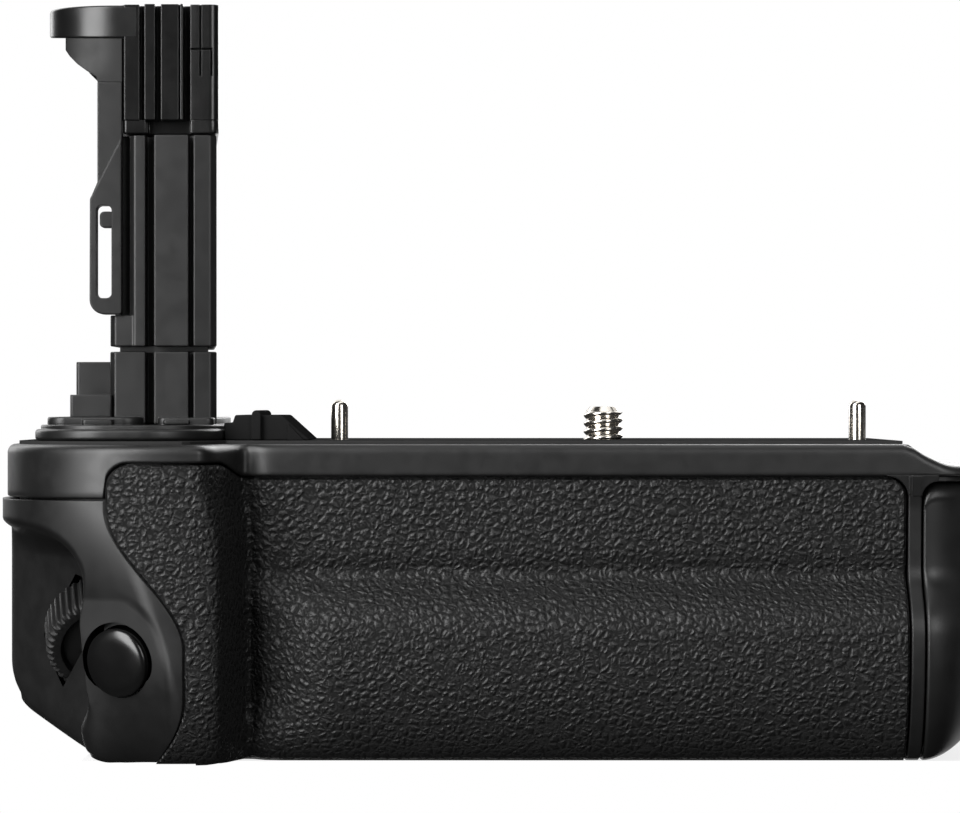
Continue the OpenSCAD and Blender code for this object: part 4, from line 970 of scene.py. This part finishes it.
# Top cover: band with rounded edges, end over the door, frame of the bay mouth
TOP_Z = -0.5
RIM_IN = 2.4
PLATE_Z = -2.0
PLATE_END = 44.6
BAND_X = -48.0
RIGHT_REACH = 58.3
END_R = 9.0
END_DROP = 3.3
END_FALL = 8.4
STRIP_X = SKIN_RIGHT + SEAM
STRIP_W = 2.0
DOOR_X = STRIP_X + STRIP_W + SEAM
ROOF_H = BAND_H + 0.6
BAND_ROUND = 1.3
BAND_LIP = 0.3
END_SHRINK = 0.972
ROOF_IN = 1.6
ROOF_COLS = 30
ROOF_ROWS = 8
HINGE_AT = (DOOR_X - SEAM / 2, REAR_REACH + 0.7)
KNUCKLES = ((-12, -7), (-46, -41))
DOOR_KNUCKLES = ((-18, -12.3), (-40.7, -35))
HINGE_R = 1.9
BOX_Y = (-18.7, 26.2)
BOX_Z0 = -46.6
DOOR_CORNER = 2.2
FLOW = 0.166
FLOW_Z = -9.6
FLOW_GAP = 0.02
WEB_TOP = -BAND_H + 0.3
LIP_UP = 0.6
PLATE_SINK = 1.4
FALL_START = 0.15
STRAIGHT_STEPS = 60
REAR_STEPS = 40
FRAME_STEPS = 60
BAND_EDGE_Z = -7.0
BAND_CORNER = SKIN_CORNER_L + SEAM
WEB_DEEP = 2
KNUCKLE_ARM = (2.6, 2.4, 0.6)


def plan(inset, fine=6):
    lobe = []
    for k in range(15 * fine):
        a = mix(180, 270, k / (15 * fine))
        r = end_radius(min(a, 269.99) + 1e-6) - inset
        lobe.append((LOBE_C[0] + END_SHRINK * r * direction(a)[0], LOBE_C[1] + r * direction(a)[1]))
    flank = []
    for k in range(16 * fine + 1):
        x = mix(LOBE_C[0], BAND_X, k / (16 * fine))
        flank.append((x, -(front_p(x + inset, 0) - inset)))
    straight = [(mix(BAND_X, RIGHT_REACH - END_R, k / STRAIGHT_STEPS), -BAND_FRONT + inset)
                for k in range(1, STRAIGHT_STEPS)]
    front_end = arc((RIGHT_REACH - END_R, -BAND_FRONT + END_R), END_R - inset, -90, 0, 8 * fine)
    rear_end = arc((RIGHT_REACH - END_R, REAR_REACH - END_R), END_R - inset, 0, 90, 8 * fine)
    rear = [(mix(RIGHT_REACH - END_R, REAR_X, k / REAR_STEPS), REAR_REACH - inset)
            for k in range(1, REAR_STEPS + 1)]
    rear.append((REAR_X - 0.01, REAR_REACH - inset))
    heel = arc((HEEL_R - LEFT_REACH, REAR_REACH - HEEL_R), HEEL_R - inset, 90, 180, 8 * fine)
    heel = [(x if x > LOBE_C[0] else mix(LOBE_C[0], x, END_SHRINK), y) for x, y in heel]
    return front_end + rear_end + rear + heel + lobe + flank + straight


def band_low(x, y):
    if y > 0:
        return -SHOULDER_H if x < REAR_X else -BAND_H
    start = skin_left(BAND_EDGE_Z) - SEAM
    if x < start:
        return -SHOULDER_H
    corner = min(BAND_CORNER, x - start)
    rise = math.sqrt(max(0.0, BAND_CORNER ** 2 - (BAND_CORNER - corner) ** 2))
    return BAND_EDGE_Z + rise - skin_drop(x)


def band_top(x):
    fall = clamp01((x - SKIN_RIGHT) / END_FALL)
    return TOP_Z - END_DROP * math.sin(math.pi / 2 * fall) * clamp01(fall / FALL_START)


def band_rows():
    rows = [(WALL + 1.2, 0, -0.8), (WALL, 0, -0.8), (WALL - 0.1, 0, 0.0), (BAND_LIP, 0, 0.0), (0.09, 0, 0.09),
            (0.0, 0, BAND_LIP)]
    rows += [(0.0, k / 8, 0.0) for k in range(1, 8)]
    for k in range(7):
        a = math.radians(15 * k)
        rows.append((BAND_ROUND * (1 - math.cos(a)), 1, BAND_ROUND * (math.sin(a) - 1)))
    return rows + [(RIM_IN, 1, 0.0), (RIM_IN, 2, 0.0), (RIM_IN + 2, 2, 0.0)]


def band_mesh():
    base = plan(0)
    rows = band_rows()
    verts = []
    for inset, part, lift in rows:
        for (x0, y0), (x, y) in zip(base, plan(inset)):
            low = band_low(x0, y0)
            high = band_top(x0)
            if 0 < part < 1:
                level = mix(low + BAND_LIP, high - BAND_ROUND, part)
            else:
                level = (low, high, min(PLATE_Z, high - PLATE_SINK))[int(part)]
            verts.append((x, y, level + lift))
    return verts, ring_faces(len(rows), len(base), True)


def roof_sides(x):
    inner = END_R - ROOF_IN
    over = max(0.0, x - (RIGHT_REACH - END_R))
    turn = END_R - math.sqrt(max(0.0, inner ** 2 - over ** 2))
    return -BAND_FRONT + turn, REAR_REACH - turn


def roof_mesh():
    above = []
    below = []
    for k in range(ROOF_COLS + 1):
        x = mix(PLATE_END + 0.1, RIGHT_REACH - ROOF_IN - 0.02, math.sin(math.pi / 2 * k / ROOF_COLS))
        y0, y1 = roof_sides(x)
        places = [mix(y0, y1, j / ROOF_ROWS) for j in range(ROOF_ROWS + 1)]
        above.append([(x, y, band_top(x) - 0.02) for y in places])
        below.append([(x, y, -ROOF_H) for y in places])
    return grid_slab(above, below)


def strip_p(z):
    if z <= FLOW_Z:
        return right_soft(z)
    return max(right_soft(z), BAND_FRONT - FLOW_GAP - FLOW * max(0.0, -BAND_H + 0.2 - z))


def web_plate(outline):
    verts, faces = prism(outline, "Y", -BAND_FRONT, -BAND_FRONT + SKIN_IN + WEB_DEEP, 0.0)
    return [(x, -strip_p(z) - 0.01 if y < -BAND_FRONT + 0.1 else y, z) for x, y, z in verts], faces


def frame_outline():
    heights = [mix(WEB_TOP, BASE_Z + LIP_UP, k / FRAME_STEPS) for k in range(FRAME_STEPS + 1)]
    outer = [(-strip_p(z), z) for z in heights] + [(-LIP_FRONT, BASE_Z)]
    outer += arc((REAR_REACH - HEEL_LOW, BASE_Z + HEEL_LOW), HEEL_LOW, -90, 0, 10)
    outer.append((REAR_REACH, WEB_TOP))
    return outer + [(BOX_Y[1], WEB_TOP), (BOX_Y[1], BOX_Z0), (BOX_Y[0], BOX_Z0), (BOX_Y[0], WEB_TOP)]


def knuckle(low, high, side):
    x, y = HINGE_AT
    back, out, over = KNUCKLE_ARM
    arm = [(x, y - back), (x + side * out, y - back), (x + side * out, y), (x, y + over)]
    return joined(prism(arc(HINGE_AT, HINGE_R, 0, 345, 23), "Z", low, high, 0.2),
                  prism(arm, "Z", low, high, 0.1))


CORNER_R = 3
corner_web = [(STRIP_X + 0.6, WEB_TOP), (SKIN_RIGHT - CORNER_R, WEB_TOP)]
corner_web += arc((SKIN_RIGHT - CORNER_R, -BAND_H - 3.1), CORNER_R + SEAM, 90, 8, 10)
corner_web.append((STRIP_X + 0.6, -BAND_H - 2.5))
door_web = [(STRIP_X + 0.5, WEB_TOP), (STRIP_X + 0.5, -ROOF_H - DOOR_CORNER),
            (STRIP_X + STRIP_W, -ROOF_H - DOOR_CORNER)]
door_web += arc((DOOR_X + DOOR_CORNER, -ROOF_H - DOOR_CORNER - SEAM), DOOR_CORNER + SEAM, 180, 90, 10)
door_web.append((DOOR_X + DOOR_CORNER, WEB_TOP))
strip = prism(frame_outline(), "X", STRIP_X, STRIP_X + STRIP_W, 0.2)
cover_parts = [band_mesh(), roof_mesh(), web_plate(door_web), strip, web_plate(corner_web)]
cover_parts += [knuckle(low, high, -1) for low, high in KNUCKLES]
block("top_cover_shell", cover_parts, "top_cover")


# Battery door: a cup that rounds off towards its end
DOOR_TOP = -ROOF_H - SEAM
DOOR_T = 2.0
DOOR_MID = ((REAR_REACH - HUMP_P) / 2, (DOOR_TOP + BASE_Z) / 2)
DOOR_HALF = ((REAR_REACH + HUMP_P) / 2, (DOOR_TOP - BASE_Z) / 2)
DOOR_EDGE = 0.35
DOOR_SINK = 7.5
DOOR_RINGS = 48
DOOR_CUP = 12
DOOR_END = 0.93
DOOR_TOP_R = 2.2
PAD_Y = -6.0
LATCH_Z = -28.0
LATCH_SLIDE = 4.0
LATCH_SLOT = (2.2, 3.2)
DOOR_FALL = 1.8
DOOR_ROUND = 1.6
DOOR_STEPS = 70
DOOR_LIP = 0.12


def door_section():
    outer = arc((-right_p(DOOR_TOP) + DOOR_TOP_R, DOOR_TOP - DOOR_TOP_R), DOOR_TOP_R, 90, 180, 8)
    start = DOOR_TOP - DOOR_TOP_R - 0.2
    heights = [mix(start, BASE_Z + LIP_UP, k / DOOR_STEPS) for k in range(DOOR_STEPS + 1)]
    outer += [(-right_soft(z), z) for z in heights] + [(-LIP_FRONT, BASE_Z)]
    outer += arc((REAR_REACH - HEEL_LOW, BASE_Z + HEEL_LOW), HEEL_LOW, -90, 0, 12)
    return outer + arc((REAR_REACH - 1.0, DOOR_TOP - 1.0), 1.0, 0, 90, 5)


def door_ring(x, inset, flat_top):
    ring = []
    corner = corner_cut(x - DOOR_X, DOOR_CORNER)
    for y, z in door_section():
        up = z > DOOR_MID[1] and flat_top
        scale = (1 - inset / DOOR_HALF[0], 1 - (corner if up else inset) / DOOR_HALF[1])
        ring.append((x, mix(DOOR_MID[0], y, scale[0]), mix(DOOR_MID[1], z, scale[1])))
    return ring


def door_sink(t):
    return DOOR_SINK * t ** DOOR_FALL + DOOR_ROUND * quarter(max(0.0, t - DOOR_END) / (1 - DOOR_END))


def door_mesh():
    rings = []
    for k in range(DOOR_CUP, -1, -1):
        t = k / DOOR_CUP
        rings.append(door_ring(mix(DOOR_X, RIGHT_REACH - DOOR_T - 0.1, t), DOOR_T + door_sink(t), False))
    rings += [door_ring(DOOR_X, DOOR_EDGE, True),
             door_ring(DOOR_X + DOOR_LIP, DOOR_EDGE * 0.3, True), door_ring(DOOR_X + DOOR_EDGE, 0.0, True)]
    for k in range(1, DOOR_RINGS + 1):
        t = k / DOOR_RINGS
        rings.append(door_ring(mix(DOOR_X + DOOR_EDGE, RIGHT_REACH, t), door_sink(t), True))
    return [p for ring in rings for p in ring], ring_faces(len(rings), len(rings[0]))


door = mesh_object("battery_door_shell", *door_mesh(), "door", "matte_black", "battery_door", sharp=50.0)
cut_box(door, (RIGHT_REACH - 6, PAD_Y - LATCH_SLOT[0], LATCH_Z - LATCH_SLOT[1] - LATCH_SLIDE),
        (RIGHT_REACH + 5, PAD_Y + LATCH_SLOT[0], LATCH_Z + LATCH_SLOT[1]))
door.data.validate()
door_tail = joined(*[knuckle(low, high, 1) for low, high in DOOR_KNUCKLES])
flat_faces(mesh_object("battery_door_knuckles", *door_tail, "door", "matte_black", sharp=60.0))


# Turned pieces: screw with its thread, pins
def round_grid(radius_at, levels, steps):
    verts = []
    for z in levels:
        for k in range(steps):
            a = 2 * math.pi * k / steps
            r = radius_at(a, z)
            verts.append((r * math.cos(a), r * math.sin(a), z))
    return verts, ring_faces(len(levels), steps)


THREAD_DEPTH = 0.5
THREAD_FULL = 0.6
THREAD_END = 0.85
THREAD_TIP = (0.25, 0.9)
THREAD_LEVELS = 130
THREAD_STEPS = 72
THREAD_Z0 = 0.02


def thread_r(a, z):
    turn = (z / SCREW_PITCH - a / (2 * math.pi)) % 1.0
    ridge = (0.5 - 0.5 * math.cos(2 * math.pi * turn)) ** THREAD_FULL
    r = SCREW_R - THREAD_DEPTH * (1 - ridge)
    past = z - (SCREW_H - THREAD_END)
    return min(r, SCREW_R - THREAD_TIP[0] - past * THREAD_TIP[1]) if past > 0 else r


screw_levels = [THREAD_Z0 + k * (SCREW_H - THREAD_Z0) / THREAD_LEVELS for k in range(THREAD_LEVELS + 1)]
screw_stem = turned_mesh([(2.0, -6.7), (2.0, -5.9), (3.0, -5.9), (3.0, -2.96), (4.4, -2.95), (4.4, -2.05),
                          (2.6, -2.04), (2.6, 0.1)], 48)
screw_part = joined(round_grid(thread_r, screw_levels, THREAD_STEPS), screw_stem)
mesh_object("attachment_screw_thread", *screw_part, "screw", "bright_nickel", "attachment_screw", sharp=85.0)
PIN_R = 1.35
PIN_H = 6.3
PIN_X = (-41.5, 40.0)
PIN_TIP = 1.15
TIP_STEP = 9
pin_profile = [(2.2, -2.7), (2.2, -2.02), (1.65, -2.0), (1.65, -0.02), (PIN_R, 0.0), (PIN_R, PIN_H - PIN_TIP)]
for k in range(1, 10):
    a = math.radians(TIP_STEP * k)
    pin_profile.append((PIN_R * math.cos(a), PIN_H - PIN_TIP + PIN_TIP * math.sin(a)))
pin_profile.append((0.01, PIN_H))


def moved(part, at):
    verts, faces = part
    return [(x + at[0], y + at[1], z + at[2]) for x, y, z in verts], faces


pins = [moved(turned_mesh(pin_profile, 48), (x, 0, 0)) for x in PIN_X]
mesh_object("alignment_pins_turned", *joined(*pins), "grip_body", "bright_nickel", "alignment_pins",
            sharp=50.0)


# Shutter button and dial
def put(part, place):
    verts, faces = part
    return [tuple(c / MM for c in place @ Vector([v * MM for v in p])) for p in verts], faces


BUTTON_DOME = 0.75
BUTTON_EDGE = 0.55
BUTTON_CAP_R = BUTTON_R - 0.05
BUTTON_FULL = 0.34
DOME_STEP = 5
button_profile = [(1.5, -3.9), (1.5, -2.3), (BUTTON_R - 0.3, -2.29), (BUTTON_R - 0.3, -0.6),
                  (BUTTON_CAP_R, 0.1), (BUTTON_CAP_R, BUTTON_EDGE)]
for k in range(1, 19):
    a = math.radians(DOME_STEP * k)
    reach = max(0.01, BUTTON_CAP_R * math.cos(a) ** BUTTON_FULL)
    button_profile.append((reach, BUTTON_EDGE + BUTTON_DOME * math.sin(a)))
mesh_object("shutter_button_dome", *put(turned_mesh(button_profile, 96), BUTTON_PLACE), "shutter",
            "gloss_black", "shutter_button", sharp=50.0)

DIAL_TEETH = 46
DIAL_STEPS = DIAL_TEETH * 8
AXLE_R = 1.25
TOOTH_DEEP = 0.55
TOOTH_SHARP = 1.1


def dial_rows():
    return [(AXLE_R, -DIAL_W, 0), (DIAL_R - 1.0, -DIAL_W, 0), (DIAL_R - 0.25, -DIAL_W + 0.5, 0.6),
            (DIAL_R, -DIAL_W + 1.0, 1), (DIAL_R, -0.9, 1), (DIAL_R - 0.2, -0.35, 1),
            (DIAL_R - 0.75, 0.0, 0.7), (DIAL_R - 2.2, 0.0, 0), (DIAL_R - 2.7, -0.8, 0), (4.2, -0.8, 0),
            (4.0, -0.25, 0), (2.8, -0.2, 0), (2.5, -0.78, 0), (AXLE_R, -0.78, 0)]


def dial_mesh():
    rows = dial_rows()
    verts = []
    for r, h, tooth in rows:
        for k in range(DIAL_STEPS):
            wave = clamp01(0.5 + TOOTH_SHARP * math.cos(2 * math.pi * k * DIAL_TEETH / DIAL_STEPS))
            a = 2 * math.pi * k / DIAL_STEPS
            reach = r - TOOTH_DEEP * tooth * (1 - wave)
            verts.append((reach * math.cos(a), reach * math.sin(a), h))
    return verts, ring_faces(len(rows), DIAL_STEPS, True)


mesh_object("main_dial_teeth", *put(dial_mesh(), DIAL_PLACE), "dial", "matte_black", "main_dial",
            looks["rough_black"], sharp=40.0)


# Camera in front of the part
CAMERA_AT = (-19.4, -560.0, 5.2)
FOCAL_PX = 3556.0
FRAME_W = 960.0
SENSOR = 36.0
camera_data = bpy.data.cameras.new("camera")
camera_data.sensor_fit = "HORIZONTAL"
camera_data.sensor_width = SENSOR
camera_data.lens = FOCAL_PX * SENSOR / FRAME_W
camera_data.clip_start = 0.01
camera = bpy.data.objects.new("camera", camera_data)
camera.location = [v * MM for v in CAMERA_AT]
camera.rotation_euler = (math.pi / 2, 0, 0)
bpy.context.scene.collection.objects.link(camera)
bpy.context.scene.camera = camera


# Floor, light and background
def seen_rays(tree):
    path = add(tree, "LightPath")
    mirrored = add(tree, "Math", {"operation": "MAXIMUM"})
    tree.links.new(path.outputs["Is Camera Ray"], mirrored.inputs[0])
    tree.links.new(path.outputs["Is Glossy Ray"], mirrored.inputs[1])
    seen = add(tree, "Math", {"operation": "MAXIMUM"})
    tree.links.new(mirrored.outputs["Value"], seen.inputs[0])
    tree.links.new(path.outputs["Is Transmission Ray"], seen.inputs[1])
    return seen.outputs["Value"]


FLOOR_HALF = 3.0
FLOOR_FRONT = -0.0195
FLOOR_LEFT = -0.080
FLOOR_NEAR = 0.07
FLOOR_FAR = 0.24
FLOOR_WHITE = 0.8
FLOOR_GREY = 0.85
DULL = 0.9
FLOOR_GAP = 0.05
floor_mesh = bpy.data.meshes.new("floor")
corners = [(FLOOR_LEFT, FLOOR_FRONT), (FLOOR_HALF, FLOOR_FRONT), (FLOOR_HALF, FLOOR_HALF),
           (FLOOR_LEFT, FLOOR_HALF)]
floor_mesh.from_pydata([(x, y, (BASE_Z - FLOOR_GAP) * MM) for x, y in corners], [], [(0, 1, 2, 3)])
floor = bpy.data.objects.new("floor", floor_mesh)
bpy.context.scene.collection.objects.link(floor)
floor_look = bpy.data.materials.new("floor_look")
floor_look.use_nodes = True
floor_tree = floor_look.node_tree
floor_shader = floor_tree.nodes["Principled BSDF"]
floor_shader.inputs["Base Color"].default_value = grey(FLOOR_GREY)
floor_shader.inputs["Roughness"].default_value = DULL
floor_shader.inputs["Specular IOR Level"].default_value = 0.0
floor_place = add(floor_tree, "TexCoord").outputs["Object"]
floor_away = add(floor_tree, "VectorMath", {"operation": "LENGTH"})
floor_tree.links.new(floor_place, floor_away.inputs[0])
far_off = span(floor_tree, floor_away.outputs["Value"], FLOOR_NEAR, FLOOR_FAR, FLOOR_WHITE, 1.0)
floor_fade = add(floor_tree, "Math", {"operation": "MULTIPLY"})
floor_tree.links.new(far_off, floor_fade.inputs[0])
floor_tree.links.new(seen_rays(floor_tree), floor_fade.inputs[1])
floor_white = add(floor_tree, "Emission", Color=grey(1.0), Strength=1.0)
floor_mix = add(floor_tree, "MixShader", Fac=floor_fade.outputs["Value"])
floor_tree.links.new(floor_shader.outputs["BSDF"], floor_mix.inputs[1])
floor_tree.links.new(floor_white.outputs["Emission"], floor_mix.inputs[2])
floor_tree.links.new(floor_mix.outputs["Shader"], floor_tree.nodes["Material Output"].inputs["Surface"])
floor.data.materials.append(floor_look)

WALL_AWAY = 1.3
WALL_BACK = 3.0
WALL_LOW = -0.7
WALL_TOP = 1.5
ROOF_BACK = 0.6
WALL_GREY = 0.06
wall_mesh = bpy.data.meshes.new("studio_walls")
wall_mesh.from_pydata(
    [(-WALL_AWAY, WALL_BACK, WALL_LOW), (-WALL_AWAY, -WALL_AWAY, WALL_LOW), (WALL_AWAY, -WALL_AWAY, WALL_LOW),
     (WALL_AWAY, WALL_BACK, WALL_LOW),
     (-WALL_AWAY, WALL_BACK, WALL_TOP), (-WALL_AWAY, -WALL_AWAY, WALL_TOP), (WALL_AWAY, -WALL_AWAY, WALL_TOP),
     (WALL_AWAY, WALL_BACK, WALL_TOP), (-WALL_AWAY, ROOF_BACK, WALL_TOP), (WALL_AWAY, ROOF_BACK, WALL_TOP)],
    [], [(0, 1, 5, 8, 4), (1, 2, 6, 5), (2, 3, 7, 9, 6), (5, 6, 9, 8), (0, 3, 2, 1)])
walls = bpy.data.objects.new("studio_walls", wall_mesh)
bpy.context.scene.collection.objects.link(walls)
wall_look = bpy.data.materials.new("wall_look")
wall_look.use_nodes = True
wall_shader = wall_look.node_tree.nodes["Principled BSDF"]
wall_shader.inputs["Base Color"].default_value = grey(WALL_GREY)
wall_shader.inputs["Roughness"].default_value = DULL
walls.data.materials.append(wall_look)
walls.visible_camera = False

FILL = 0.1
world = bpy.data.worlds.new("studio")
bpy.context.scene.world = world
world.use_nodes = True
world_tree = world.node_tree
fill = world_tree.nodes["Background"]
fill.inputs["Color"].default_value = grey(1.0)
fill.inputs["Strength"].default_value = FILL
white = add(world_tree, "Background", Color=grey(1.0), Strength=1.0)
world_mix = add(world_tree, "MixShader", Fac=seen_rays(world_tree))
world_tree.links.new(fill.outputs["Background"], world_mix.inputs[1])
world_tree.links.new(white.outputs["Background"], world_mix.inputs[2])
world_tree.links.new(world_mix.outputs["Shader"], world_tree.nodes["World Output"].inputs["Surface"])

WATTS_PER_LEVEL = 4.0


def softbox(name, at, aim, size, level):
    data = bpy.data.lights.new(name, "AREA")
    data.shape = "RECTANGLE"
    data.size = size[0]
    data.size_y = size[1]
    data.energy = level * WATTS_PER_LEVEL * size[0] * size[1]
    obj = bpy.data.objects.new(name, data)
    obj.location = at
    obj.rotation_euler = (Vector(aim) - Vector(at)).to_track_quat("-Z", "Y").to_euler()
    obj.visible_camera = False
    bpy.context.scene.collection.objects.link(obj)


# Place, aim, size and level of each light
softbox("key_light", (-0.48, -0.52, 0.27), (-0.05, 0, 0), (0.40, 0.90), 8.2)
softbox("side_light", (0.36, -0.66, 0.25), (0.02, 0, -0.01), (0.30, 0.50), 4.0)
softbox("rear_light", (0.30, 0.80, 0.36), (0, 0, -0.01), (0.5, 0.6), 4.0)
softbox("rear_side_light", (-0.55, 0.62, 0.30), (0, 0, -0.01), (0.3, 0.6), 3.0)
softbox("top_light", (0.05, -0.05, 0.75), (0, 0, 0), (0.8, 0.30), 1.2)

bpy.context.scene.view_settings.view_transform = "Standard"
